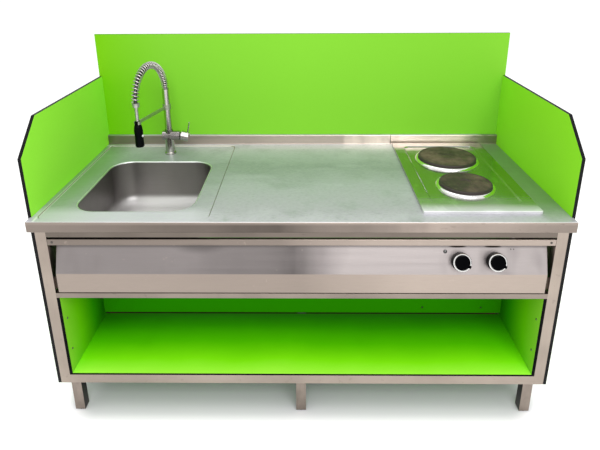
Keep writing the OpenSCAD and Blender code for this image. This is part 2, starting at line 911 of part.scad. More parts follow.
// A steel ring that carries one plate's edge and keeps spills out of its hole
module overflow_ring(d) {
    r = d / 2;
    rotate_extrude() {
        translate([r - ring_step_w, 0]) square([ring_step_w + fit, ring_step_h]);
        difference() {
            translate([r + ring_gap, 0]) intersection() {
                bead(ring_w - ring_gap);
                translate([-ring_w, 0]) square([2 * ring_w, ring_h]);
            }
            translate([r - 2 * ring_w, -1]) square([2 * ring_w + fit, ring_h + 2]);
        }
    }
}

// A round bead that is ring_h high and reaches w to each side at its foot
module bead(w) {
    crown = (w * w + ring_h * ring_h) / (2 * ring_h);
    translate([0, ring_h - crown]) circle(crown);
}

module overflow_rings() {
    color("gainsboro") {
        translate([hob_x, back_plate_y, z_pan]) overflow_ring(big_plate_d);
        translate([hob_x, front_plate_y, z_pan]) overflow_ring(small_plate_d);
    }
}

// A cast-iron plate: a dished middle, a ribbed rim, and the stud and terminals below
module hot_plate(d) {
    r = d / 2;
    z_dish = plate_h - plate_dish_drop;
    color("#3a3634") {
        difference() {
            rotate_extrude() polygon([
                [0, z_dish], [plate_dish_r, z_dish], [plate_dish_r + plate_dish_w, plate_h],
                [r - plate_edge, plate_h], [r, plate_h - plate_edge], [r, ring_step_h],
                [r - plate_wall, ring_step_h], [r - plate_wall - 1, -plate_below],
                [stud_r, -plate_below], [stud_r, -stud_l], [0, -stud_l]
            ]);
            translate([0, 0, plate_h - groove_drop]) difference() {
                cylinder(h = 1, r = r - groove_in);
                translate([0, 0, -1]) cylinder(h = 3, r = r - groove_in - groove_w);
            }
        }
        translate([-plug_size[0] / 2, r / 2 - plug_size[1] / 2, -plug_low]) cube(plug_size);
    }
}

module hot_plate_back() {
    translate([hob_x, back_plate_y, z_pan]) hot_plate(big_plate_d);
}

module hot_plate_front() {
    translate([hob_x, front_plate_y, z_pan]) hot_plate(small_plate_d);
}

// The sheet box that closes the hob from below
module heat_shield() {
    w = pan_w - 2 * shield_side;
    d = pan_d - 2 * shield_end;
    t = shield_t;
    z0 = z_rail - shield_drop;
    z1 = z_pan - sheet_t;
    color("darkgray") translate([hob_x - w / 2, pan_y - d / 2, 0]) {
        difference() {
            box([0, 0, z0], [w, d, z1]);
            box([t, t, z0 + t], [w - t, d - t, z1 + 1]);
        }
    }
}

// ---- controls ----

// Moves to a point on the sloped face: X from the middle, then up the slope.
// Its Z points out of the face and its Y up the slope.
module on_slope(x, up) {
    translate([x, y_frame + sheet_t / 2 + up * sin(slope_a), z_bend + up * cos(slope_a)])
        rotate([90 - slope_a, 0, 0]) translate([0, 0, sheet_t / 2]) children();
}

// The folded front: a flange, a return, the sloped face and the vertical face.
// The flange reaches the posts, and the faces below it stop short of them.
module control_panel() {
    half = sheet_t / 2;
    y1 = y_frame + slope_run;
    color("silver") difference() {
        along_x(-x_post + 1, x_post - 1) folded([
            [y_frame + flange_in, z_flange - half], [y_frame + half, z_flange - half],
            [y_frame + half, z_slope + half], [y1 + half, z_slope + half],
            [y_frame + half, z_bend], [y_frame + half, z_panel + half],
            [y_frame + panel_in, z_panel + half]
        ], sheet_t, bend_r - 1);
        for (x0 = [-x_post, x_end]) {
            box([x0, y_frame + flange_in, z_panel - 1], [x0 + end_gap, y1 + panel_in, z_slope + 5]);
            box([x0, y_frame - 1, z_panel - 1], [x0 + end_gap, y1 + panel_in, z_slope - 1]);
        }
        for (i = [0, 1]) on_slope(knob_x + i * knob_pitch, knob_up)
            translate([0, 0, -5]) cylinder(h = 10, r = bush_r);
        on_slope(lamp_x, lamp_up) translate([0, 0, -5]) cylinder(h = 10, r = lamp_r);
        at_flange_screws() translate([0, 0, -1]) cylinder(h = 10, r = screw_r);
    }
}

// A plate that closes one end of the control panel, with the bracket that holds it
// on the post, and the tab behind the flange
module panel_end() {
    y_in = y_frame + sheet_t;
    y_up = y_frame + slope_run + sheet_t + 2 * fit;
    y_deep = y_frame + slope_run + end_in;
    y_tab = y_frame + tab_gap;
    along_x(x_end - end_t, x_end) polygon([
        [y_in, z_panel + sheet_t + 3], [y_in + 3, z_panel + sheet_t],
        [y_frame + tube, z_panel + sheet_t], [y_deep, z_bend], [y_deep, z_slope],
        [y_up, z_slope], [y_up, z_slope - 4], [y_in + 1, z_bend - 4], [y_in, z_bend - 6]
    ]);
    box([x_end - end_t, y_tab, z_panel + 8], [x_post, y_tab + tab_t, z_bend - 20]);
    difference() {
        box([x_end - tab_l, y_in, z_slope + 4], [x_post, y_in + tab_t, z_flange - 4]);
        at_flange_screws() cylinder(h = 20, r = screw_r);
    }
}

module panel_ends() {
    color("silver") {
        panel_end();
        mirror([1, 0, 0]) panel_end();
    }
}

module low_rail() {
    color("silver") tube_box([-x_post, y_frame, z_low_rail],
        [x_post, y_frame + small_tube, z_low_rail + low_rail_h], 0, tube_wall);
}

// The two rotary switches behind the sloped face, with their bushes through it
module rotary_switches() {
    w = switch_w;
    color("#e8e2d0") for (i = [0, 1]) on_slope(knob_x + i * knob_pitch, knob_up) difference() {
        union() {
            translate([-w / 2, -w / 2, -sheet_t - switch_h]) cube([w, w, switch_h]);
            translate([0, 0, -sheet_t - 1]) cylinder(h = sheet_t + 1 + bush_l, r = bush_r);
            for (k = [-1:1])
                translate([k * 13 - 3, -0.4, -sheet_t - switch_h - 8]) cube([6, 0.8, 9]);
        }
        translate([0, 0, -sheet_t - shaft_in]) cylinder(h = 40, r = shaft_d / 2 + run_fit);
    }
}

// A round knob with a raised cap and a pointer that reaches over its front ring
module knob() {
    r = knob_d / 2;
    pointer_a = -30;
    pointer_w = 10;
    color("#151515") {
        difference() {
            rotate_extrude() polygon([
                [0, knob_base], [r - 1, knob_base], [r, knob_base + 3], [r, knob_face - 1],
                [r - 1, knob_face], [ring_out, knob_face], [ring_out, knob_face - ring_depth],
                [ring_in, knob_face - ring_depth], [ring_in, knob_face],
                [ring_in - 1, knob_l - 1], [ring_in - 3, knob_l], [0, knob_l]
            ]);
            translate([0, 0, knob_base - 1]) cylinder(h = shaft_grip, r = bush_r + 1);
        }
        rotate(pointer_a) translate([0, -pointer_w / 2, knob_face + 1])
            cube([r - 1, pointer_w, knob_l - knob_face - 1.5]);
        translate([0, 0, 2 - sheet_t - shaft_in])
            cylinder(h = sheet_t + shaft_in - 2 + knob_base + shaft_grip, r = shaft_d / 2);
    }
}

// The bright ring that is pressed into the knob's front
module knob_ring() {
    color("gainsboro") rotate_extrude() polygon([
        [ring_in, knob_face - ring_depth], [ring_out, knob_face - ring_depth],
        [ring_out, knob_face], [ring_out - 1, knob_face + 0.8],
        [ring_in + 1, knob_face + 0.8], [ring_in, knob_face]
    ]);
}

module knob_left() { on_slope(knob_x, knob_up) knob(); }
module knob_right() { on_slope(knob_x + knob_pitch, knob_up) knob(); }
module knob_ring_left() { on_slope(knob_x, knob_up) knob_ring(); }
module knob_ring_right() { on_slope(knob_x + knob_pitch, knob_up) knob_ring(); }

// A lamp with a round bezel and a domed lens
module pilot_lamp() {
    color("#d8d0c4") on_slope(lamp_x, lamp_up) {
        translate([0, 0, -sheet_t - 22]) cylinder(h = sheet_t + 22, r = lamp_r);
        rotate_extrude() polygon([[0, 0], [7, 0], [7, 1.2], [6, 2.4], [4.6, 2.4], [4.6, 3], [0, 4.2]]);
    }
}

// The electric terminal box on the upper back rail, with its lid at the back
module terminal_box() {
    t = box_wall;
    inner = [box_size[0] - 2 * t, box_size[1] - 2 * t, box_size[2] - 2 * t];
    color("#c9c9c9") translate([box_x - box_size[0] / 2, y_box, z_box]) difference() {
        union() {
            cube(box_size);
            translate([t, box_size[1] - t, t]) cube([inner[0], t + box_lid_t, inner[2]]);
        }
        translate([box_size[0] / 2, box_size[1] / 2, -1]) cylinder(h = 20, r = gland_stub_r);
        translate([t, t, t]) cube(inner);
    }
}

// The gland below the box, where a supply cord goes in
module cable_gland() {
    color("dimgray") translate([box_x, y_box + box_size[1] / 2, z_box]) difference() {
        union() {
            translate([0, 0, -6]) cylinder(h = 6, r = 12, $fn = 6);
            translate([0, 0, -20]) cylinder(h = 14, r1 = 9.5, r2 = 11);
            cylinder(h = box_wall, r = gland_stub_r - fit);
        }
        translate([0, 0, -21]) cylinder(h = 30, r = gland_r);
    }
}

// ---- tap ----

// Moves to the tap's axis at worktop height
module at_tap() {
    translate([tap_x, tap_y, z_zone]) children();
}

// The round base, its column and the threaded shank below the worktop
module tap_base() {
    r = mixer_d / 2 - 0.5;
    top = z_mixer - z_zone;
    color("silver") difference() {
        at_tap() {
            cylinder(h = base_h, r = r + base_w);
            translate([0, 0, base_h]) cylinder(h = 2, r1 = r + base_w, r2 = r + base_w - 2);
            cylinder(h = top, r = r);
            translate([0, 0, z_shank - z_zone]) cylinder(h = z_zone - z_shank + 1, r = shank_r);
        }
        translate([tap_x, tap_y, z_mixer]) rotate([0, 90, 0])
            cylinder(h = 100, r = mixer_d / 2, center = true);
        for (side = [-1, 1]) at_tail(side)
            translate([0, 0, -2 * tail_in]) cylinder(h = 2 * tail_in, r = tail_r + tail_collar);
    }
}

// The horizontal body, with the socket that the riser turns in
module mixer_body() {
    r = mixer_d / 2;
    color("silver") difference() {
        union() {
            translate([tap_x - mixer_left, tap_y, z_mixer]) rotate([0, 90, 0])
                cylinder(h = x_pivot - cap_gap - tap_x + mixer_left, r = r);
            translate([tap_x, tap_y, z_mixer])
                cylinder(h = z_boss - z_mixer, r = riser_d / 2 + boss_w);
        }
        translate([tap_x, tap_y, z_mixer + 8]) cylinder(h = 60, r = spigot_r + run_fit);
        translate([x_pivot, tap_y, z_mixer]) {
            sphere(ball_r + fit);
            rotate([0, -90, 0]) cylinder(h = ball_neck_l + 1, r = ball_neck_r + run_fit);
        }
    }
}

// The nut that clamps the tap from below
module tap_nut() {
    color("goldenrod") translate([tap_x, tap_y, z_rail - nut_h]) difference() {
        cylinder(h = nut_h, r = shank_r + nut_w, $fn = 6);
        translate([0, 0, -1]) cylinder(h = nut_h + 2, r = shank_r);
    }
}

// Moves to the upper end of a tail, turned so that its Z runs up along the tail
module at_tail(side) {
    translate([tap_x + side * tail_x, tap_y, z_shank + tail_in])
        rotate([0, -side * tail_tilt, 0]) children();
}

// The two copper tails for hot and cold water, each with the collar that holds it in
// the shank. They lean outwards, so that a connector can be slid on from below.
module supply_tails() {
    collar_l = tail_in + tail_grip;
    color("peru") for (side = [-1, 1]) at_tail(side) difference() {
        union() {
            translate([0, 0, -collar_l]) cylinder(h = collar_l, r = tail_r + tail_collar);
            translate([0, 0, -collar_l - tail_l]) cylinder(h = tail_l + 1, r = tail_r);
        }
        translate([0, 0, -collar_l - tail_l - 1])
            cylinder(h = collar_l + tail_l - 4, r = tail_r - tail_wall);
    }
}

// The ball that turns in the body for hot and cold, and carries the lever
module mixer_ball() {
    color("gray") translate([x_pivot, tap_y, z_mixer]) {
        sphere(ball_r);
        rotate([0, -90, 0]) cylinder(h = ball_neck_l, r = ball_neck_r);
    }
}

// The cap that tilts on the ball to open the water, with its pin
module mixer_lever() {
    r = mixer_d / 2;
    l = cap_l;
    color("silver") translate([x_pivot, tap_y, z_mixer]) rotate([0, cap_tilt, 0]) {
        difference() {
            rotate([0, 90, 0]) rotate_extrude() polygon([
                [0, 0], [r, 0], [r, l - 2], [r - 2, l], [0, l]
            ]);
            sphere(ball_r + fit);
        }
        translate([l - 9, 0, r - 3]) {
            cylinder(h = pin_l, r = pin_r);
            translate([0, 0, pin_l]) sphere(pin_r);
        }
    }
}

// Moves to the tap's axis, turned to where the spout points
module at_spout() {
    translate([tap_x, tap_y, 0]) rotate(-spout_turn) children();
}

// The upright tube, with the collar that carries the arm
module riser() {
    r = riser_d / 2;
    color("silver") at_spout() difference() {
        union() {
            translate([0, 0, z_boss + fit]) cylinder(h = z_riser - z_boss - fit, r = r);
            translate([0, 0, z_boss - spigot_l]) cylinder(h = spigot_l + 1, r = spigot_r);
        }
        translate([0, 0, z_riser - hose_in]) cylinder(h = hose_in + 1, r = hose_d / 2);
        translate([0, 0, z_boss - spigot_l - 1])
            cylinder(h = z_riser - z_boss, r = hose_d / 2 - 1);
    }
}

// The arm: a collar on the riser, a flat bar, and an open ring for the spray head
module holder_arm() {
    collar_r = riser_d / 2 + collar_w;
    bar_t = arm_bar_t;
    slot_w = hose_d + 2;
    color("silver") at_spout() translate([0, 0, z_arm]) difference() {
        union() {
            translate([0, 0, -collar_h / 2]) cylinder(h = collar_h, r = collar_r);
            translate([-bar_t / 2, -reach + neck_r + 2, -arm_t / 2])
                cube([bar_t, reach - neck_r - riser_d / 2 - 2, arm_t]);
            translate([0, -reach, -arm_t / 2]) cylinder(h = arm_t, r = neck_r + arm_ring_w);
        }
        translate([0, 0, -20]) cylinder(h = 40, r = riser_d / 2);
        translate([0, -reach, -20]) cylinder(h = 40, r = neck_r);
        translate([-slot_w / 2, -reach - 30, -20]) cube([slot_w, 30, 40]);
    }
}

// Place of the spout's middle line, s millimetres along it from the riser's top
arch_l = PI * arch_r;
spring_l = arch_up + arch_l + z_arch - z_sleeve - sleeve_h;
function line_angle(s) = 180 * min(max(s - arch_up, 0), arch_l) / arch_l;
function line_point(s) =
    let (a = line_angle(s))
    [0, -arch_r * (1 - cos(a)),
     z_arch + arch_r * sin(a) - max(arch_up - s, 0) - max(s - arch_up - arch_l, 0)];
function line_ahead(s) = let (a = line_angle(s)) [0, -sin(a), cos(a)];
function line_out(s) = let (a = line_angle(s)) [0, cos(a), sin(a)];

// A wire wound round the hose: each ring of points is one section of the wire
module spring() {
    wire_sides = 6;
    per_turn = 10;
    steps = spring_turns * per_turn;
    wire_r = wire_d / 2;
    coil_r = (spring_d - wire_d) / 2;
    points = [
        for (i = [0:steps])
            let (s = wire_r + (spring_l - wire_d) * i / steps,
                 turn = 360 * i / per_turn,
                 out = cos(turn) * line_out(s) + sin(turn) * [1, 0, 0],
                 mid = line_point(s) + coil_r * out)
            for (k = [0:wire_sides - 1])
                mid + wire_r * (cos(360 * k / wire_sides) * out
                    + sin(360 * k / wire_sides) * line_ahead(s))
    ];
    sides = [
        for (i = [0:steps - 1], k = [0:wire_sides - 1])
            let (a = i * wire_sides + k, b = i * wire_sides + (k + 1) % wire_sides)
            [a, b, b + wire_sides, a + wire_sides]
    ];
    first = [for (k = [wire_sides - 1:-1:0]) k];
    last = [for (k = [0:wire_sides - 1]) steps * wire_sides + k];
    color("silver") at_spout() polyhedron(points, concat(sides, [first, last]), convexity = 20);
}

// The hose inside the spring, with the sleeve that ends the spring
module spout_hose() {
    r = hose_d / 2;
    color("gray") at_spout() {
        translate([0, 0, z_riser - hose_in])
            cylinder(h = z_arch - z_riser + hose_in, r = r);
        translate([0, -arch_r, z_arch]) rotate([90, 0, -90]) rotate_extrude(angle = 180)
            translate([arch_r, 0]) circle(r);
        translate([0, -reach, z_head]) cylinder(h = z_arch - z_head, r = r);
        translate([0, -reach, z_sleeve]) cylinder(h = sleeve_h, r = spring_d / 2 - 1);
    }
}

// The spray head, with its neck in the ring, a nozzle face and the button's pocket
module spray_head() {
    r = head_d / 2;
    color("#101010") at_spout() translate([0, -reach, z_head - head_l]) difference() {
        rotate_extrude() polygon([
            [0, 2], [r - 5, 2], [r - 4, 0], [r - 2, 0], [r, 3], [r - 0.5, 20],
            [r - 1.2, head_l * 0.45], [r, head_l * 0.72], [r - 2.5, head_l - 9],
            [neck_r + 2.5, head_l], [neck_r, head_l], [neck_r, head_l + neck_h],
            [0, head_l + neck_h]
        ]);
        translate([0, 0, head_l]) cylinder(h = neck_h + 1, r = hose_d / 2);
        for (row = [[6, 5], [12, 9.5]], i = [0:row[0] - 1])
            rotate(360 * i / row[0]) translate([row[1], 0, 1]) cylinder(h = 4, r = 0.9);
        translate([r - button_in, 0, button_up]) rotate([0, 90, 0])
            cylinder(h = 20, r = button_r + fit);
    }
}

// The button that switches the head from a jet to a spray
module spray_button() {
    r = head_d / 2;
    color("gainsboro") at_spout() translate([0, -reach, z_head - head_l + button_up])
        rotate([0, 90, 0]) translate([0, 0, r - button_in + button_travel + fit]) {
            cylinder(h = button_l, r = button_r);
            translate([0, 0, button_l]) cylinder(h = 1, r1 = button_r, r2 = button_r - 1);
        }
}

post_front_left();
post_front_right();
post_back_left();
post_back_right();
top_rail_front();
top_rail_back();
top_rail_left();
top_rail_right();
base_rail_front();
base_rail_back();
base_rail_left();
base_rail_right();
base_bearer();
legs();
glides();
back_frame();
side_panel_left();
side_panel_right();
splash_panel();
inner_panel_left();
inner_panel_right();
compartment_back();
shelf();
screws();
worktop_sheet();
worktop_core();
sink_bowl();
waste_flange();
strainer();
waste_body();
bottle_trap();
outlet_pipe();
hob_tray();
overflow_rings();
hot_plate_back();
hot_plate_front();
heat_shield();
control_panel();
panel_ends();
low_rail();
rotary_switches();
knob_left();
knob_right();
knob_ring_left();
knob_ring_right();
pilot_lamp();
terminal_box();
cable_gland();
tap_base();
mixer_body();
tap_nut();
supply_tails();
mixer_ball();
mixer_lever();
riser();
holder_arm();
spring();
spout_hose();
spray_head();
spray_button();
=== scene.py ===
"""Looks of a steel kitchenette unit with a sink, a spring spout tap and a two-plate hob.

Everything is in metres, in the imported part's own frame: X to the right, Y to the back,
Z up, with the origin on the floor below the middle of the unit.
"""

import math

import bmesh
import bpy
from mathutils import Matrix, Vector


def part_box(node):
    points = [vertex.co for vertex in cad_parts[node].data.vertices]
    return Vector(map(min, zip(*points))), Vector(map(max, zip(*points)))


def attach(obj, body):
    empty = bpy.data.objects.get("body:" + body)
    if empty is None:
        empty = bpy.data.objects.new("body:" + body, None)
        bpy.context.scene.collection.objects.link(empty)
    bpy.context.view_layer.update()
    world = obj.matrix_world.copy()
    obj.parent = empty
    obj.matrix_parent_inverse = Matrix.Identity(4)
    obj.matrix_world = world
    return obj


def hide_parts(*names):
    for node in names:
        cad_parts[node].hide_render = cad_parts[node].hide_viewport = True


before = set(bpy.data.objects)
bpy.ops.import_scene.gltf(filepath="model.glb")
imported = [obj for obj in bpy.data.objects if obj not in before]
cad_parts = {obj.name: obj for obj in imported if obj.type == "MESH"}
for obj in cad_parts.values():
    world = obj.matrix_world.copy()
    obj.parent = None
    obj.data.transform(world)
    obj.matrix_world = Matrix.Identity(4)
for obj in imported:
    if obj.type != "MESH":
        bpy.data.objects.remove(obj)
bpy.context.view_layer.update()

# ---- camera ----

IMAGE_W, IMAGE_H = 600, 450
FOCAL_PX = 526.7
PRINCIPAL_ROW = 133
EYE = Vector((0.0214, -2.009, 1.697))
YAW, PITCH, ROLL = -0.01229, 0.31941, -0.00524
SENSOR = 36.0
FAR_CLIP = 100


def make_camera():
    """The photograph's camera: above the worktop, looking down at the unit's front."""
    ahead = Vector((math.sin(YAW) * math.cos(PITCH), math.cos(YAW) * math.cos(PITCH), -math.sin(PITCH)))
    side = ahead.cross(Vector((0, 0, 1))).normalized()
    above = side.cross(ahead)
    right = math.cos(ROLL) * side + math.sin(ROLL) * above
    up = math.cos(ROLL) * above - math.sin(ROLL) * side
    data = bpy.data.cameras.new("camera")
    data.sensor_width = SENSOR
    data.lens = FOCAL_PX / IMAGE_W * SENSOR
    data.shift_y = (PRINCIPAL_ROW - IMAGE_H / 2) / IMAGE_W
    data.clip_end = FAR_CLIP
    camera = bpy.data.objects.new("camera", data)
    bpy.context.scene.collection.objects.link(camera)
    rotation = Matrix((right, up, -ahead)).transposed()
    camera.matrix_world = Matrix.Translation(EYE) @ rotation.to_4x4()
    bpy.context.scene.camera = camera


# ---- material graphs ----

class Graph:
    """A material's nodes, with its Principled shader at hand. A mask is a number from 0 to 1."""

    def __init__(self, name):
        self.material = bpy.data.materials.new(name)
        self.material.use_nodes = True
        self.tree = self.material.node_tree
        self.shader = self.tree.nodes["Principled BSDF"]
        self.place = self.add("ShaderNodeTexCoord").outputs["Object"]

    def add(self, kind, inputs=(), **settings):
        node = self.tree.nodes.new(kind)
        for key, value in settings.items():
            setattr(node, key, value)
        for key, value in dict(inputs).items():
            self.put(node.inputs[key], value)
        return node

    def put(self, socket, value):
        if isinstance(value, bpy.types.NodeSocket):
            self.tree.links.new(value, socket)
        else:
            socket.default_value = value

    def set(self, **values):
        """Sets the shader's own sockets: an underscore in a name stands for a space."""
        for key, value in values.items():
            self.put(self.shader.inputs[key.replace("_", " ")], value)

    def noise(self, scale, stretch=(1, 1, 1), detail=2, rough=0.5):
        mapped = self.add("ShaderNodeMapping", {"Vector": self.place, "Scale": stretch})
        return self.add("ShaderNodeTexNoise", {
            "Vector": mapped.outputs[0], "Scale": scale, "Detail": detail, "Roughness": rough,
        }).outputs["Fac"]

    def math(self, kind, a, b=0.0):
        node = self.add("ShaderNodeMath", operation=kind)
        self.put(node.inputs[0], a)
        self.put(node.inputs[1], b)
        return node.outputs[0]

    def plus(self, a, b):
        return self.math("ADD", a, b)

    def both(self, a, b):
        """A mask where two masks meet."""
        return self.math("MULTIPLY", a, b)

    def off(self, value, middle=0.0):
        """How far a value is from its middle."""
        return self.math("ABSOLUTE", self.math("SUBTRACT", value, middle))

    def span(self, value, low, high, out_low=0.0, out_high=1.0, smooth=False):
        """Maps low..high to out_low..out_high, held at both ends."""
        return self.add("ShaderNodeMapRange", {
            "Value": value, "From Min": low, "From Max": high, "To Min": out_low, "To Max": out_high,
        }, interpolation_type="SMOOTHSTEP" if smooth else "LINEAR").outputs[0]

    def vary(self, noise, low=0.0, high=1.0, smooth=False):
        """Maps a noise, which stays mostly between 0.3 and 0.7, to low..high."""
        return self.span(noise, 0.3, 0.7, low, high, smooth)

    def mix(self, factor, a, b):
        node = self.add("ShaderNodeMix", data_type="RGBA")
        self.put(node.inputs[0], factor)
        for socket, colour in ((node.inputs[6], a), (node.inputs[7], b)):
            self.put(socket, colour if isinstance(colour, bpy.types.NodeSocket) else (*colour, 1))
        return node.outputs[2]

    def layer(self, tone, *layers):
        """Lays colours over a tone, each with its own mask."""
        for mask, colour in layers:
            tone = self.mix(mask, tone, colour)
        return tone

    def axis(self, letter, vector=None):
        return self.add("ShaderNodeSeparateXYZ", {0: vector or self.place}).outputs[letter]

    def facing(self, letter):
        """How far the surface faces along an axis, from -1 to 1."""
        return self.axis(letter, self.add("ShaderNodeTexCoord").outputs["Normal"])

    def ramp(self, value, *stops):
        """Colours met along a value: each stop is a value and its colour."""
        low, high = stops[0][0], stops[-1][0]
        node = self.add("ShaderNodeValToRGB", {"Fac": self.span(value, low, high)})
        places = node.color_ramp.elements
        while len(places) < len(stops):
            places.new(0.5)
        for place, (at, colour) in zip(places, stops):
            place.position = (at - low) / (high - low)
            place.color = (*colour, 1)
        return node.outputs["Color"]

    def mix_value(self, factor, a, b):
        """A number between a and b."""
        return self.add("ShaderNodeMapRange", {"Value": factor, "To Min": a, "To Max": b}).outputs[0]

    def distance(self, point, scale=(1, 1, 1)):
        """Distance to a point, with each axis scaled. A scale of 0 leaves its axis out."""
        spread = self.add("ShaderNodeMapping", {
            "Vector": self.place, "Location": [-c * k for c, k in zip(point, scale)], "Scale": scale,
        })
        return self.add("ShaderNodeVectorMath", {0: spread.outputs[0]}, operation="LENGTH").outputs["Value"]

    def relief(self, height, depth, strength, round_edges=0.0):
        bump = self.add("ShaderNodeBump", {"Height": height, "Distance": depth, "Strength": strength})
        if round_edges:
            edge = self.add("ShaderNodeBevel", {"Radius": round_edges}, samples=4)
            self.put(bump.inputs["Normal"], edge.outputs[0])
        self.set(Normal=bump.outputs[0])


def shade(colour, k):
    return tuple(min(1.0, c * k) for c in colour)


def shades(colour, *stops):
    """Stops for a ramp: each is a value and how bright the colour is there."""
    return [(at, shade(colour, k)) for at, k in stops]


# ---- colours ----

FACE = (0.36, 0.30, 0.26)
FRONT_STEEL = (0.37, 0.31, 0.265)
SLOPE = (0.30, 0.27, 0.265)
TOP_PALE = (0.39, 0.41, 0.42)
TOP_DULL = (0.27, 0.31, 0.285)
TOP_FRONT = (0.485, 0.475, 0.52)
TOP_GREEN_REFLECTION = (0.17, 0.33, 0.09)
TOP_FOLD_HIGHLIGHT = (0.88, 0.88, 0.90)
ZONE_EDGE_HIGHLIGHT = (0.9, 0.9, 0.9)
TOP_METAL = 0.35
GRAIN = (0.12, 0.10, 0.09)
SOOT = (0.12, 0.09, 0.08)
SEAM = (0.05, 0.045, 0.04)
KNOB_SHADOW = (0.012, 0.008, 0.006)
PRINTED = (0.08, 0.07, 0.065)
PANEL_FOOT_SHADOW = (0.05, 0.02, 0.012)
BOWL_STEEL = (0.36, 0.335, 0.325)
BOWL_FLOOR_HIGHLIGHT = (1.0, 1.0, 1.0)
BOWL_RIM_HIGHLIGHT = (0.72, 0.74, 0.74)
TRAY_STEEL = (0.50, 0.50, 0.48)
TRAY_EDGE = (0.68, 0.68, 0.69)
TRAY_BORDER = (0.52, 0.54, 0.52)
TRAY_SMEAR = (0.75, 0.76, 0.75)
LEG_SIDE_SHADE = (0.015, 0.012, 0.01)
IRON_PALE = (0.115, 0.072, 0.060)
IRON_DARK = (0.038, 0.026, 0.022)
IRON_RIM = (0.030, 0.022, 0.020)
TAP_STEEL = (0.50, 0.47, 0.45)
ARM_STEEL_GREEN_REFLECTION = (0.42, 0.45, 0.36)
BRIGHT = (0.86, 0.85, 0.83)
SHIELD_STEEL = (0.5, 0.5, 0.5)
SCREW_STEEL = (0.12, 0.11, 0.10)
CARTRIDGE_STEEL = (0.3, 0.29, 0.28)
BRASS = (0.62, 0.45, 0.18)
COPPER = (0.65, 0.32, 0.18)
HOSE_DARK = (0.02, 0.02, 0.02)
BRAID_DARK, BRAID_PALE = (0.30, 0.29, 0.28), (0.5, 0.49, 0.47)
BOARD = (0.55, 0.40, 0.24)
LENS, BEZEL = (0.75, 0.68, 0.58), (0.03, 0.028, 0.027)
KNOB_BLACK = (0.0015, 0.0015, 0.002)
SPRAY_BLACK = (0.002, 0.0025, 0.003)
GLIDE_BLACK = (0.03, 0.03, 0.03)
BUTTON_GREY = (0.7, 0.7, 0.7)
SWITCH_CREAM = (0.70, 0.66, 0.56)
WASTE_WHITE = (0.78, 0.78, 0.76)
CUT_EDGE = (0.003, 0.003, 0.0035)
LAMINATE_FLECK = (0.1, 0.3, 0.0)
UNDER_TOP_SHADE = (0.09, 0.07, 0.05)
GREEN = (0.205, 0.565, 0.030)
GREEN_CORNER_SHADE = (0.155, 0.49, 0.001)
LEFT_GREEN_LIT = (0.29, 0.79, 0.045)
RIGHT_GREEN_LIT = (0.265, 0.73, 0.022)
NICHE_LIT_GREEN = (0.40, 1.0, 0.06)
NICHE_BACK_SHADE_LEFT, NICHE_BACK_SHADE_RIGHT = (0.025, 0.30, 0.0), (0.03, 0.30, 0.0)
FLOOR_WHITE = (0.88, 0.88, 0.88)
FLOOR_SHADE = (0.46, 0.46, 0.48)
FLOOR_GAP_SHADE = (0.03, 0.015, 0.010)

# ---- places of marks, and of painted light and shade, that only show in the finish ----

PANEL_FOOT = 0.544
PANEL_BEND = 0.623
PANEL_TOP = 0.737
FLANGE_SHADE = 0.7185
DARK_SPOT_X = -0.36
KNOBS_X = (0.571, 0.696)
MARK_X, MARK_Z = 0.757, 0.708
MARK_HALF_PITCH = 0.005
ZONE_LEFT, ZONE_RIGHT, ZONE_BACK = -0.913, -0.315, 0.360
SEAM_X = 0.425
BOWL = (-0.604, -0.081)
PANEL_INNER_X = 0.938
UNDER_TOP_Z = 0.80
RING_PITCH = 0.0016
LENS_R = 0.0048

# ---- steel ----

ALONG = {"X": (0.03, 1, 1), "Y": (1, 0.03, 1), "Z": (1, 1, 0.03)}
GRAIN_DEPTH = 0.00003
SOFT_EDGE = 0.0015


def finish_steel(g, tone, along, rough, metallic=1.0, grain_tone=0.10):
    """Adds the fine brushed grain of sheet steel to a tone, and sets the shader."""
    grain = g.noise(700, ALONG[along], detail=3, rough=0.7)
    streak = g.noise(60, ALONG[along], detail=3)
    tone = g.mix(g.vary(grain, 0, grain_tone), tone, GRAIN)
    polish = g.plus(g.vary(streak, -0.03, 0.03), g.vary(grain, -0.02, 0.02))
    g.set(Base_Color=tone, Metallic=metallic, Roughness=g.plus(polish, rough))
    g.relief(grain, GRAIN_DEPTH, 0.6, SOFT_EDGE)
    return g.material


def steel(name, colour, along, rough):
    """Brushed stainless tube or sheet: fine grain along one axis, soft clouds and a few dull spots."""
    g = Graph(name)
    patch = g.noise(4.0, detail=3)
    spots = g.noise(38, detail=4, rough=0.6)
    tone = g.mix(g.vary(patch, smooth=True), shade(colour, 0.86), shade(colour, 1.07))
    tone = g.mix(g.span(spots, 0.62, 0.72, 0, 0.35, smooth=True), tone, shade(colour, 0.55))
    return finish_steel(g, tone, along, rough)


def leg_steel():
    """The feet's tubes: brushed fronts, with painted shade where they face sideways under the unit."""
    g = Graph("leg_steel")
    aside = g.span(g.off(g.facing("X")), 0.6, 0.8)
    patch = g.noise(30, (1, 1, 0.4), detail=4, rough=0.6)
    tone = g.mix(g.span(patch, 0.35, 0.65), shade(FRONT_STEEL, 0.62), shade(FRONT_STEEL, 0.8))
    # painted shade on the tube faces that turn sideways under the unit
    tone = g.mix(g.both(aside, 0.97), tone, LEG_SIDE_SHADE)
    return finish_steel(g, tone, "Z", 0.36)


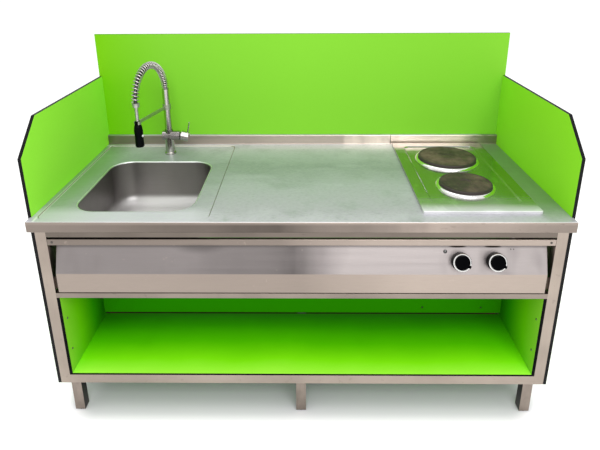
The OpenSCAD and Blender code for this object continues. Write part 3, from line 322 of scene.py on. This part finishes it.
def panel_steel():
    """The folded control panel, with the shadows of its flange and knobs."""
    g = Graph("panel_steel")
    x, z = g.axis("X"), g.axis("Z")
    over_bend = g.span(z, PANEL_BEND - 0.001, PANEL_BEND + 0.001)
    over_top = g.span(z, PANEL_TOP - 0.001, PANEL_TOP + 0.001)
    on_slope = g.both(over_bend, g.span(over_top, 0, 1, 1, 0))
    tone = g.mix(on_slope, *panel_tones(g, x, over_top))
    tone = panel_shadows(g, tone, z, on_slope)
    scuffs = g.noise(46, detail=3)
    tone = g.layer(
        tone,
        (g.span(scuffs, 0.68, 0.76, 0, 0.25, smooth=True), shade(FACE, 1.25)),
        (g.span(z, PANEL_FOOT + 0.003, PANEL_FOOT, 0, 0.7), PANEL_FOOT_SHADOW),
    )
    return finish_steel(g, tone, "X", 0.34)


def panel_tones(g, x, over_top):
    """The panel's warmer upright faces, and its cooler slope, which is darker in its middle and
    brightens to the right."""
    clouds = g.noise(2.6, (1, 1, 0.35), detail=3, rough=0.45)
    haze = g.noise(9.0, (1, 1, 0.3), detail=2)
    drift = g.plus(x, g.vary(clouds, -0.12, 0.12))
    slope = g.ramp(drift, *shades(SLOPE, (-0.9, 1), (-0.35, 0.86), (-0.02, 0.42), (0.22, 1.5), (0.9, 1.55)))
    slope = g.mix(g.span(haze, 0.52, 0.72, 0, 0.4, smooth=True), slope, shade(SLOPE, 0.75))
    front = g.ramp(drift, *shades(FACE, (-0.9, 0.9), (0.0, 0.77), (0.5, 1.12), (0.9, 1.05)))
    top = g.ramp(drift, *shades(FACE, (-0.9, 0.55), (-0.1, 0.6), (0.3, 1), (0.9, 1.05)))
    return g.mix(over_top, front, top), slope


def panel_shadows(g, tone, z, on_slope):
    """A darker spot near the slope's top, the shade below the flange and above each knob, and two printed
    dots.
    """
    spot = g.distance((DARK_SPOT_X, 0, FLANGE_SHADE), scale=(0.3, 0, 1))
    under = g.both(on_slope, g.span(z, FLANGE_SHADE - 0.010, FLANGE_SHADE, 0, 0.6, smooth=True))
    tone = g.layer(
        tone,
        (g.span(spot, 0.008, 0.035, 0.5, 0, smooth=True), shade(SLOPE, 0.25)),
        (under, shade(SLOPE, 0.35)),
    )
    for knob_x in KNOBS_X:
        oval = g.distance((knob_x - 0.008, 0, FLANGE_SHADE - 0.002), scale=(0.16, 0, 1.6))
        tone = g.mix(g.span(oval, 0.0035, 0.006, 0.95, 0, smooth=True), tone, KNOB_SHADOW)
    for mark_x in (MARK_X - MARK_HALF_PITCH, MARK_X + MARK_HALF_PITCH):
        dot = g.distance((mark_x, 0, MARK_Z), scale=(1, 0, 1))
        tone = g.mix(g.span(dot, 0.0018, 0.0028, 0.8, 0), tone, PRINTED)
    return tone


def worktop_steel():
    """The worktop's sheet: a dull, faintly blotched top, and warmer folds at the front and the back."""
    g = Graph("worktop_steel")
    flat = g.span(g.facing("Z"), 0.75, 0.95)
    x, y, z = g.axis("X"), g.axis("Y"), g.axis("Z")
    tone = g.mix(flat, fold_tone(g, x, y, z), top_tone(g, x, y))
    return finish_steel(g, tone, "X", g.mix_value(flat, 0.38, 0.44), g.mix_value(flat, 1.0, TOP_METAL), 0.12)


def top_tone(g, x, y):
    """The flat top: paler at the front and the back, with painted green reflections of the side panels near
    them, and painted highlights along the front fold and the pressed zone's edges.
    """
    blotch = g.noise(5.5, detail=5, rough=0.65)
    wiped = g.noise(9, (0.5, 1.6, 1), detail=3)
    speck = g.noise(120, (0.5, 1, 1), detail=4, rough=0.7)
    near_bowl = g.distance((*BOWL, 0), scale=(1.0, 0.82, 0))
    left = g.both(g.span(x, -0.76, -0.90, smooth=True), g.span(y, -0.36, -0.1, 0.25, 0.75))
    right = g.both(g.span(x, 0.83, 0.86), g.span(y, -0.41, -0.25, 0.1, 0.9))
    zone_front = g.both(g.span(x, -0.30, -0.38), g.span(y, -0.28, -0.34, 0, 0.8))
    top = g.ramp(
        g.plus(y, g.vary(blotch, -0.07, 0.07)),
        *shades(TOP_FRONT, (-0.41, 1), (-0.33, 0.85)),
        (-0.12, TOP_PALE), (0.08, TOP_DULL), (0.38, shade(TOP_PALE, 1.35)),
    )
    return g.layer(
        top,
        (g.span(blotch, 0.5, 0.68, 0, 0.45, smooth=True), TOP_DULL),
        (g.span(wiped, 0.52, 0.7, 0, 0.3, smooth=True), shade(TOP_PALE, 1.2)),
        (g.span(speck, 0.5, 0.75, 0, 0.35), shade(TOP_DULL, 0.55)),
        (g.span(speck, 0.45, 0.28, 0, 0.3), shade(TOP_PALE, 1.35)),
        (g.span(near_bowl, 0.36, 0.24, 0, 0.35, smooth=True), shade(TOP_DULL, 0.95)),
        # painted green reflections of the side panels on the steel near them
        (left, TOP_GREEN_REFLECTION),
        (right, shade(TOP_GREEN_REFLECTION, 0.75)),
        (zone_front, shade(TOP_FRONT, 1.25)),
        # painted highlight along the front fold of the top
        (g.span(y, -0.4085, -0.4105), TOP_FOLD_HIGHLIGHT),
        (zone_edge_highlight(g, x, y), ZONE_EDGE_HIGHLIGHT),
    )


def zone_edge_highlight(g, x, y):
    """A mask for the painted highlight along the pressed zone's back and left edges."""
    behind = g.span(g.off(y, ZONE_BACK), 0.0045, 0.003, 0, 0.85)
    beside = g.span(g.off(x, ZONE_LEFT), 0.005, 0.003, 0, 0.6)
    before_right = g.span(x, ZONE_RIGHT, ZONE_RIGHT - 0.01)
    before_back = g.span(y, ZONE_BACK + 0.006, ZONE_BACK + 0.004)
    return g.both(g.both(before_right, before_back), g.math("MAXIMUM", behind, beside))


def fold_tone(g, x, y, z):
    """The lip at the front and the upstand at the back, with soot near the hob and a seam."""
    clouds = g.noise(3.2, (1, 1, 0.5), detail=4, rough=0.6)
    soot = g.noise(34, (0.5, 1, 1), detail=5, rough=0.7)
    drift = g.plus(x, g.vary(clouds, -0.15, 0.15))
    lip = g.ramp(drift, *shades(FACE, (-0.95, 0.66), (-0.1, 0.26), (0.3, 0.66), (0.5, 1.0), (0.95, 0.64)))
    # painted highlight: the lip is painted lighter towards its top fold
    lip = g.mix(g.span(z, 0.836, 0.848, 0, 0.45, smooth=True), lip, shade(FACE, 1.15))
    upstand = g.ramp(drift, *shades(
        FACE, (-0.95, 0.65), (-0.55, 1.05), (-0.1, 1.35), (0.30, 1.3), (0.42, 2.5), (0.74, 2.4),
        (0.84, 1.1), (0.95, 1.0)))
    seam = g.span(g.off(x, SEAM_X), 0.0012, 0.0022, 0.85, 0)
    return g.layer(
        g.mix(g.span(y, 0.2, 0.25), lip, upstand),
        (g.both(g.span(soot, 0.56, 0.68, smooth=True), g.span(x, 0.3, 0.9, 0, 0.6)), SOOT),
        (g.both(seam, g.span(y, 0.30, 0.32)), SEAM),
    )


def bowl_steel():
    """The pressed bowl: painted shade where its walls turn away from the light, and painted highlights on
    its floor and along its rim.
    """
    g = Graph("bowl_steel")
    x, y, z = g.axis("X"), g.axis("Y"), g.axis("Z")
    across = g.plus(x, g.vary(g.noise(7, detail=3), -0.02, 0.02))
    wall = g.ramp(across, *shades(
        BOWL_STEEL, (-0.83, 0.54), (-0.76, 0.6), (-0.69, 0.85), (-0.62, 0.82), (-0.47, 0.58), (-0.38, 0.38)))
    low = g.span(z, 0.70, 0.655, smooth=True)
    lit = g.both(low, g.span(across, -0.84, -0.68, 0.4, 1, smooth=True))
    tone = g.layer(
        wall,
        # painted highlight on the bowl's floor
        (g.both(lit, g.span(y, 0.1, -0.1, 0.4, 1.0)), BOWL_FLOOR_HIGHLIGHT),
        # painted highlight along the bowl's rim
        (g.span(z, 0.841, 0.846), BOWL_RIM_HIGHLIGHT),
    )
    return finish_steel(g, tone, "X", 0.42, g.span(lit, 0, 1, 1.0, 0.12))


def tray_steel():
    """The hob's tray: polished, and duller and paler along its front border."""
    g = Graph("tray_steel")
    y = g.axis("Y")
    tone = g.ramp(
        g.plus(y, g.vary(g.noise(6, detail=3), -0.02, 0.02)),
        (-0.35, TRAY_EDGE), (-0.325, TRAY_BORDER),
        *shades(TRAY_STEEL, (-0.29, 1), (-0.22, 0.85), (0.36, 0.8)),
    )
    smear = g.noise(26, (1, 0.5, 1), detail=4)
    tone = g.mix(g.span(smear, 0.55, 0.75, 0, 0.4, smooth=True), tone, TRAY_SMEAR)
    rough = g.ramp(y, (-0.35, (0.5, 0.5, 0.5)), (-0.29, (0.34, 0.34, 0.34)), (-0.2, (0.2, 0.2, 0.2)))
    return finish_steel(g, tone, "X", rough, g.span(y, -0.325, -0.29, 0.5, 1.0), grain_tone=0.05)


def polished(name, colour, rough):
    """Polished or satin-plated metal with faint wiping marks."""
    g = Graph(name)
    wipe = g.noise(120, ALONG["Z"], detail=3)
    spots = g.noise(30, detail=5, rough=0.65)
    tint = g.mix(g.span(spots, 0.35, 0.7), shade(colour, 1.04), shade(colour, 0.88))
    finish = g.plus(g.vary(wipe, 0, 0.06), g.span(spots, 0.55, 0.75, 0, 0.1))
    g.set(Base_Color=tint, Metallic=1.0, Roughness=g.plus(finish, rough))
    g.relief(wipe, 0.00001, 0.4)
    return g.material


def cast_iron(side, bright):
    """A used hot plate: turned rings, brown burnt patches, a dark rim and a darker middle. bright
    scales the colour of its iron."""
    g = Graph("plate_iron_" + side)
    low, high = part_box("hot_plate_" + side)
    radius = (high.x - low.x) / 2
    away = g.distance((low + high) / 2, scale=(1, 1, 0))
    rings = g.math("SINE", g.math("MULTIPLY", away, 2 * math.pi / RING_PITCH))
    burnt = g.noise(11, detail=5, rough=0.62)
    stain = g.noise(34, detail=6, rough=0.7)
    tone = g.layer(
        g.mix(g.span(burnt, 0.38, 0.62, smooth=True), shade(IRON_DARK, bright), shade(IRON_PALE, bright)),
        (g.span(away, radius * 0.45, radius * 0.1, 0, 0.6, smooth=True), shade(IRON_DARK, 0.8)),
        (g.span(stain, 0.5, 0.68, 0, 0.6), shade(IRON_DARK, 0.6)),
        (g.span(stain, 0.42, 0.3, 0, 0.5), shade(IRON_PALE, 1.35)),
        (g.span(away, radius * 0.9, radius * 0.97, smooth=True), IRON_RIM),
    )
    g.set(Base_Color=tone, Metallic=0.0, Specular_IOR_Level=0.3)
    g.set(Roughness=g.span(stain, 0.35, 0.7, 0.42, 0.62))
    g.relief(g.plus(g.math("MULTIPLY", rings, 0.5), stain), 0.0002, 0.35)
    return g.material


# ---- laminate, plastic and board ----

def laminate(name, faces, along, stops, gloss=0.12, inside=False):
    """Compact laminate: coloured on its faces, by stops along an axis, and dark at its cut edges.
    inside paints shade on the face that closes the box under the worktop."""
    g = Graph(name)
    on_face = g.span(g.off(g.facing(faces)), 0.6, 0.7)
    mottle = g.noise(3.0)
    fine = g.noise(420)
    face = g.ramp(g.plus(g.axis(along), g.vary(mottle, -0.015, 0.015)), *stops)
    face = g.mix(g.span(fine, 0.4, 0.7, 0, 0.06), face, LAMINATE_FLECK)
    if inside:
        # painted shade on the side panel's inner face under the worktop
        shaded_inside = g.both(
            g.span(g.off(g.axis("X")), PANEL_INNER_X, PANEL_INNER_X - 0.002),
            g.span(g.axis("Z"), UNDER_TOP_Z, UNDER_TOP_Z - 0.01),
        )
        face = g.mix(shaded_inside, face, UNDER_TOP_SHADE)
    cut = g.mix(g.span(g.noise(60, detail=3), 0.45, 0.75), CUT_EDGE, shade(CUT_EDGE, 2.5))
    g.set(Base_Color=g.mix(on_face, cut, face), Specular_IOR_Level=gloss)
    g.set(Roughness=g.vary(mottle, 0.5, 0.58))
    g.relief(fine, 0.00003, 0.5)
    return g.material


def moulded(name, colour, rough, gloss=0.4):
    """Moulded plastic, with a fine sparkle in its skin and faint wear."""
    g = Graph(name)
    fine = g.noise(900)
    rubbed = g.noise(25, detail=4)
    tint = g.mix(g.span(rubbed, 0.35, 0.75), shade(colour, 0.9), shade(colour, 1.15))
    g.set(Base_Color=tint, Roughness=g.vary(rubbed, rough - 0.05, rough + 0.08), Specular_IOR_Level=gloss)
    g.relief(fine, 0.00004, 0.6)
    return g.material


def hose_rubber():
    """The hose: dark inside the spring, and a bright braid between the spring and the spray head."""
    g = Graph("hose_rubber")
    braid = g.noise(300, (1, 1, 0.3))
    bare = g.span(g.axis("Z"), SLEEVE_Z + 0.001, SLEEVE_Z - 0.001)
    tone = g.mix(g.span(braid, 0.35, 0.65), BRAID_DARK, BRAID_PALE)
    g.set(Base_Color=g.mix(bare, HOSE_DARK, tone), Metallic=g.both(bare, 0.8), Roughness=0.35)
    g.relief(braid, 0.0001, 0.4)
    return g.material


def filler_board():
    """Layered board, seen only from below and behind."""
    g = Graph("filler_board")
    layers = g.noise(60, (0.15, 0.15, 8), detail=3)
    fibre = g.noise(90, (0.06, 1, 1), detail=4)
    tone = g.mix(g.span(layers, 0.35, 0.65), shade(BOARD, 0.8), shade(BOARD, 1.15))
    tone = g.mix(g.span(fibre, 0.4, 0.7, 0, 0.5), tone, shade(BOARD, 0.6))
    g.set(Base_Color=tone, Roughness=0.75)
    g.relief(fibre, 0.0004, 0.5)
    return g.material


def lamp_lens():
    """The pilot lamp: a pale lens inside a dark bezel."""
    g = Graph("lamp_lens")
    low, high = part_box("pilot_lamp")
    radius = g.distance((low + high) / 2)
    grain = g.noise(500)
    lens = g.mix(g.vary(grain), shade(LENS, 0.9), shade(LENS, 1.1))
    g.set(Base_Color=g.mix(g.span(radius, LENS_R, LENS_R * 1.06), lens, BEZEL))
    g.set(Roughness=0.25, Coat_Weight=0.5, Coat_Roughness=0.1)
    g.relief(grain, 0.00005, 0.5)
    return g.material


# ---- dressing the CAD nodes ----

def wear(material, *names):
    """Gives CAD nodes a material."""
    for name in names:
        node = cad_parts[name]
        if not node.material_slots:
            node.data.materials.append(material)
        for place in node.material_slots:
            place.material = material


def dress_frame():
    wear(steel("tube_upright", FRONT_STEEL, "Z", 0.34), "post_front_left", "post_front_right",
         "post_back_left", "post_back_right", "back_frame")
    wear(leg_steel(), "legs")
    wear(steel("tube_across", shade(FRONT_STEEL, 1.02), "X", 0.34), "base_rail_front", "base_rail_back")
    # painted shade: the low rail, the top and side rails and the bearer wear darker copies of the tube steel
    wear(steel("rail_low_shaded", shade(FRONT_STEEL, 0.7), "X", 0.34), "low_rail")
    wear(steel("tube_shaded", shade(FRONT_STEEL, 0.45), "X", 0.34), "top_rail_front", "top_rail_back")
    wear(steel("tube_deep_shaded", shade(FRONT_STEEL, 0.4), "Y", 0.34), "top_rail_left", "top_rail_right",
         "base_rail_left", "base_rail_right")
    wear(steel("tube_hidden_shaded", shade(FRONT_STEEL, 0.08), "Y", 0.5), "base_bearer")
    wear(panel_steel(), "control_panel")
    # painted shade: the panel ends wear a darker copy of the tube steel
    wear(steel("end_steel_shaded", shade(FRONT_STEEL, 0.35), "Z", 0.4), "panel_ends")
    wear(moulded("glide_plastic", GLIDE_BLACK, 0.55), "glides", "cable_gland")


def dress_guards():
    """The side panels, painted in lighter greens than the splash panel for the light on them, and the splash
    panel, with painted corner shade at its ends.
    """
    left = shades(LEFT_GREEN_LIT, (-0.41, 1), (0.1, 0.97), (0.4, 1.05))
    right = shades(RIGHT_GREEN_LIT, (-0.41, 1), (0.4, 1.04))
    # painted corner shade: the splash panel darkens at both ends
    splash = [(-0.93, GREEN_CORNER_SHADE), *shades(GREEN, (-0.62, 0.95), (0.0, 1), (0.5, 0.95), (0.93, 0.92))]
    wear(laminate("laminate_left", "X", "Y", left, inside=True), "side_panel_left")
    wear(laminate("laminate_right", "X", "Y", right, inside=True), "side_panel_right")
    wear(laminate("laminate_splash", "Y", "X", splash), "splash_panel")


def dress_compartment():
    """The compartment's boards: painted light at their front, and painted shade that darkens them towards
    its back.
    """
    sides = [(-0.38, shade(NICHE_LIT_GREEN, 0.66)), (-0.26, (0.17, 0.62, 0.004)), (-0.12, (0.04, 0.38, 0.0)),
             (-0.03, (0.014, 0.20, 0.0))]
    back = [(-0.9, NICHE_BACK_SHADE_LEFT), (0.9, NICHE_BACK_SHADE_RIGHT)]
    shelf = [(-0.38, NICHE_LIT_GREEN), (-0.30, (0.24, 0.9, 0.006)), (-0.2, (0.10, 0.62, 0.0)),
             (-0.10, (0.04, 0.38, 0.0)), (-0.03, (0.018, 0.24, 0.0))]
    wear(laminate("laminate_inner", "X", "Y", sides, gloss=0.02), "inner_panel_left", "inner_panel_right")
    wear(laminate("laminate_back", "Y", "X", back, gloss=0.02), "compartment_back")
    wear(laminate("laminate_shelf", "Z", "Y", shelf, gloss=0.02), "shelf")
    wear(polished("screw_steel", SCREW_STEEL, 0.35), "screws")


def dress_worktop():
    wear(worktop_steel(), "worktop_sheet")
    wear(filler_board(), "worktop_core")
    wear(bowl_steel(), "sink_bowl")
    wear(polished("waste_steel", TAP_STEEL, 0.16), "waste_flange", "strainer")
    wear(moulded("waste_plastic", WASTE_WHITE, 0.35), "waste_body", "bottle_trap", "outlet_pipe")


def dress_hob():
    wear(tray_steel(), "hob_tray")
    wear(polished("ring_steel", BRIGHT, 0.14), "overflow_rings")
    wear(cast_iron("back", 1.0), "hot_plate_back")
    wear(cast_iron("front", 0.75), "hot_plate_front")
    wear(steel("shield_steel", SHIELD_STEEL, "Y", 0.45), "heat_shield")


def dress_controls():
    wear(moulded("knob_black", KNOB_BLACK, 0.3, gloss=0.012), "knob_left", "knob_right")
    wear(polished("knob_chrome", BRIGHT, 0.1), "knob_ring_left", "knob_ring_right")
    wear(lamp_lens(), "pilot_lamp")
    wear(moulded("switch_plastic", SWITCH_CREAM, 0.4), "rotary_switches", "terminal_box")


def dress_tap():
    satin = polished("tap_satin", TAP_STEEL, 0.14)
    wear(satin, "tap_base", "mixer_lever", "riser", "spring")
    # painted shade: the mixer body wears a darker copy of the tap's satin steel
    wear(polished("mixer_satin_shaded", shade(TAP_STEEL, 0.62), 0.16), "mixer_body")
    # painted reflection: the arm's steel is tinted with a painted green reflection of the splash panel
    wear(steel("arm_steel_green_reflection", ARM_STEEL_GREEN_REFLECTION, "X", 0.4), "holder_arm")
    wind_spring(satin)
    wear(polished("cartridge_steel", CARTRIDGE_STEEL, 0.3), "mixer_ball")
    wear(polished("nut_brass", BRASS, 0.3), "tap_nut")
    wear(polished("tail_copper", COPPER, 0.3), "supply_tails")
    wear(hose_rubber(), "spout_hose")
    wear(moulded("spray_black", SPRAY_BLACK, 0.3, gloss=0.035), "spray_head")
    wear(moulded("button_grey", BUTTON_GREY, 0.35), "spray_button")


# ---- spout spring ----

TAP = Vector((-0.604, 0.267, 0))
SPOUT_TURN = math.radians(-13)
ARCH_R, ARCH_Z, RISER_Z, SLEEVE_Z = 0.126, 1.154, 1.152, 1.152
COIL_R, WIRE_R = 0.0131, 0.0023
TURNS, TURN_STEPS = 34, 20
OPENING = 0.2


def spout_line(s):
    """A point of the spout's middle line, s metres past the riser's top, and the way outward there."""
    past_straight = s - (ARCH_Z - RISER_Z)
    angle = min(max(past_straight / ARCH_R, 0), math.pi)
    rise = min(past_straight, 0)
    drop = max(past_straight - math.pi * ARCH_R, 0)
    middle = Vector((0, -ARCH_R * (1 - math.cos(angle)), ARCH_Z + ARCH_R * math.sin(angle) + rise - drop))
    return middle, Vector((0, math.cos(angle), math.sin(angle)))


def wind_spring(material):
    """The wire round the hose. OPENING sets how much closer its turns are at the riser than at
    the sleeve."""
    length = (ARCH_Z - RISER_Z) + math.pi * ARCH_R + ARCH_Z - SLEEVE_Z - 2 * WIRE_R
    steps = TURNS * TURN_STEPS
    turned = Matrix.Rotation(SPOUT_TURN, 3, "Z")
    aside = Vector((1, 0, 0))
    curve = bpy.data.curves.new("spring_wire", "CURVE")
    curve.dimensions = "3D"
    curve.bevel_depth = WIRE_R
    curve.bevel_resolution = 3
    curve.use_fill_caps = True
    wire = curve.splines.new("POLY")
    wire.points.add(steps)
    for i, point in enumerate(wire.points):
        t = i / steps
        middle, out = spout_line(WIRE_R + length * (t - OPENING * t * (1 - t)))
        turn = 2 * math.pi * i / TURN_STEPS
        place = turned @ (middle + COIL_R * (math.cos(turn) * out + math.sin(turn) * aside))
        point.co = (*(place + TAP), 1)
    curve.materials.append(material)
    spring = bpy.data.objects.new("spring_wire", curve)
    bpy.context.scene.collection.objects.link(spring)
    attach(spring, "spout")
    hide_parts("spring")


# ---- stage ----

SKY = 0.85
FLOOR_SIZE = 60.0
FLOOR_LIFT = 0.35
LAMPS = {
    "lamp_front": {"place": (0.6, -3.4, 3.2), "target": (0, -0.1, 0.6), "size": (3.2, 2.0), "power": 120},
    "lamp_top": {"place": (-0.4, -0.2, 4.2), "target": (0, 0, 0.8), "size": (3.5, 2.5), "power": 40},
}


def seen_directly(tree, path):
    """1 for camera, glossy and transmitted rays, and 0 for the light that surfaces gather."""
    total = path.outputs["Is Camera Ray"]
    for kind in ("Is Glossy Ray", "Is Transmission Ray"):
        step = tree.nodes.new("ShaderNodeMath")
        step.operation = "MAXIMUM"
        tree.links.new(total, step.inputs[0])
        tree.links.new(path.outputs[kind], step.inputs[1])
        total = step.outputs[0]
    return total


def make_world():
    """A soft white sky, plain white to the camera and in reflections."""
    world = bpy.data.worlds.new("sky")
    world.use_nodes = True
    bpy.context.scene.world = world
    tree = world.node_tree
    shown = tree.nodes["Background"]
    light = tree.nodes.new("ShaderNodeBackground")
    for background, strength in ((shown, 1.0), (light, SKY)):
        background.inputs["Color"].default_value = (1, 1, 1, 1)
        background.inputs["Strength"].default_value = strength
    path = tree.nodes.new("ShaderNodeLightPath")
    mix = tree.nodes.new("ShaderNodeMixShader")
    tree.links.new(seen_directly(tree, path), mix.inputs[0])
    tree.links.new(light.outputs[0], mix.inputs[1])
    tree.links.new(shown.outputs[0], mix.inputs[2])
    tree.links.new(mix.outputs[0], tree.nodes["World Output"].inputs["Surface"])


def floor_white():
    """White where nothing shades it, with a painted grey shadow under the unit, and painted dark shade
    where the gap behind the compartment lets it be seen."""
    g = Graph("floor_white")
    aside, y = g.off(g.axis("X")), g.axis("Y")
    back = g.span(y, 0.55, 0.38, smooth=True)
    front = g.span(y, -0.49, -0.27, smooth=True)
    # painted shadow under the unit
    under = g.both(g.span(aside, 0.99, 0.80, smooth=True), g.both(front, back))
    deep_shade = g.both(g.span(aside, 0.99, 0.95), g.span(y, 0.02, 0.15, smooth=True))
    gap_end_shade = g.both(g.span(aside, 1.02, 0.99), g.both(g.span(y, 0.17, 0.21), g.span(y, 0.32, 0.27)))
    tone = g.layer(
        g.mix(under, FLOOR_WHITE, FLOOR_SHADE),
        (g.both(deep_shade, back), FLOOR_GAP_SHADE),
        (gap_end_shade, FLOOR_GAP_SHADE),
    )
    outside = g.span(under, 0.0, 0.5, 1.0, 0.0, smooth=True)
    lift = g.both(g.math("MINIMUM", outside, g.span(gap_end_shade, 0, 1, 1, 0)), FLOOR_LIFT)
    shown = seen_directly(g.tree, g.add("ShaderNodeLightPath"))
    g.set(Base_Color=tone, Roughness=0.9, Specular_IOR_Level=0.0)
    g.set(Emission_Color=(1, 1, 1, 1), Emission_Strength=g.both(shown, lift))
    return g.material


def make_floor():
    """A pale floor that keeps the unit's shadow."""
    mesh = bpy.data.meshes.new("floor")
    half = FLOOR_SIZE / 2
    shape = bmesh.new()
    corners = [shape.verts.new((x * half, y * half, 0)) for x, y in ((-1, -1), (1, -1), (1, 1), (-1, 1))]
    shape.faces.new(corners)
    shape.to_mesh(mesh)
    shape.free()
    mesh.materials.append(floor_white())
    floor = bpy.data.objects.new("floor", mesh)
    bpy.context.scene.collection.objects.link(floor)


def make_lamp(name, place, target, size, power):
    data = bpy.data.lights.new(name, "AREA")
    data.shape = "RECTANGLE"
    data.size, data.size_y = size
    data.energy = power
    lamp = bpy.data.objects.new(name, data)
    bpy.context.scene.collection.objects.link(lamp)
    lamp.location = place
    lamp.rotation_mode = "QUATERNION"
    lamp.rotation_quaternion = (Vector(target) - Vector(place)).to_track_quat("-Z", "Y")


bpy.context.scene.view_settings.view_transform = "Standard"
make_camera()
dress_frame()
dress_guards()
dress_compartment()
dress_worktop()
dress_hob()
dress_controls()
dress_tap()
make_world()
make_floor()
for lamp_name, lamp_facts in LAMPS.items():
    make_lamp(lamp_name, **lamp_facts)
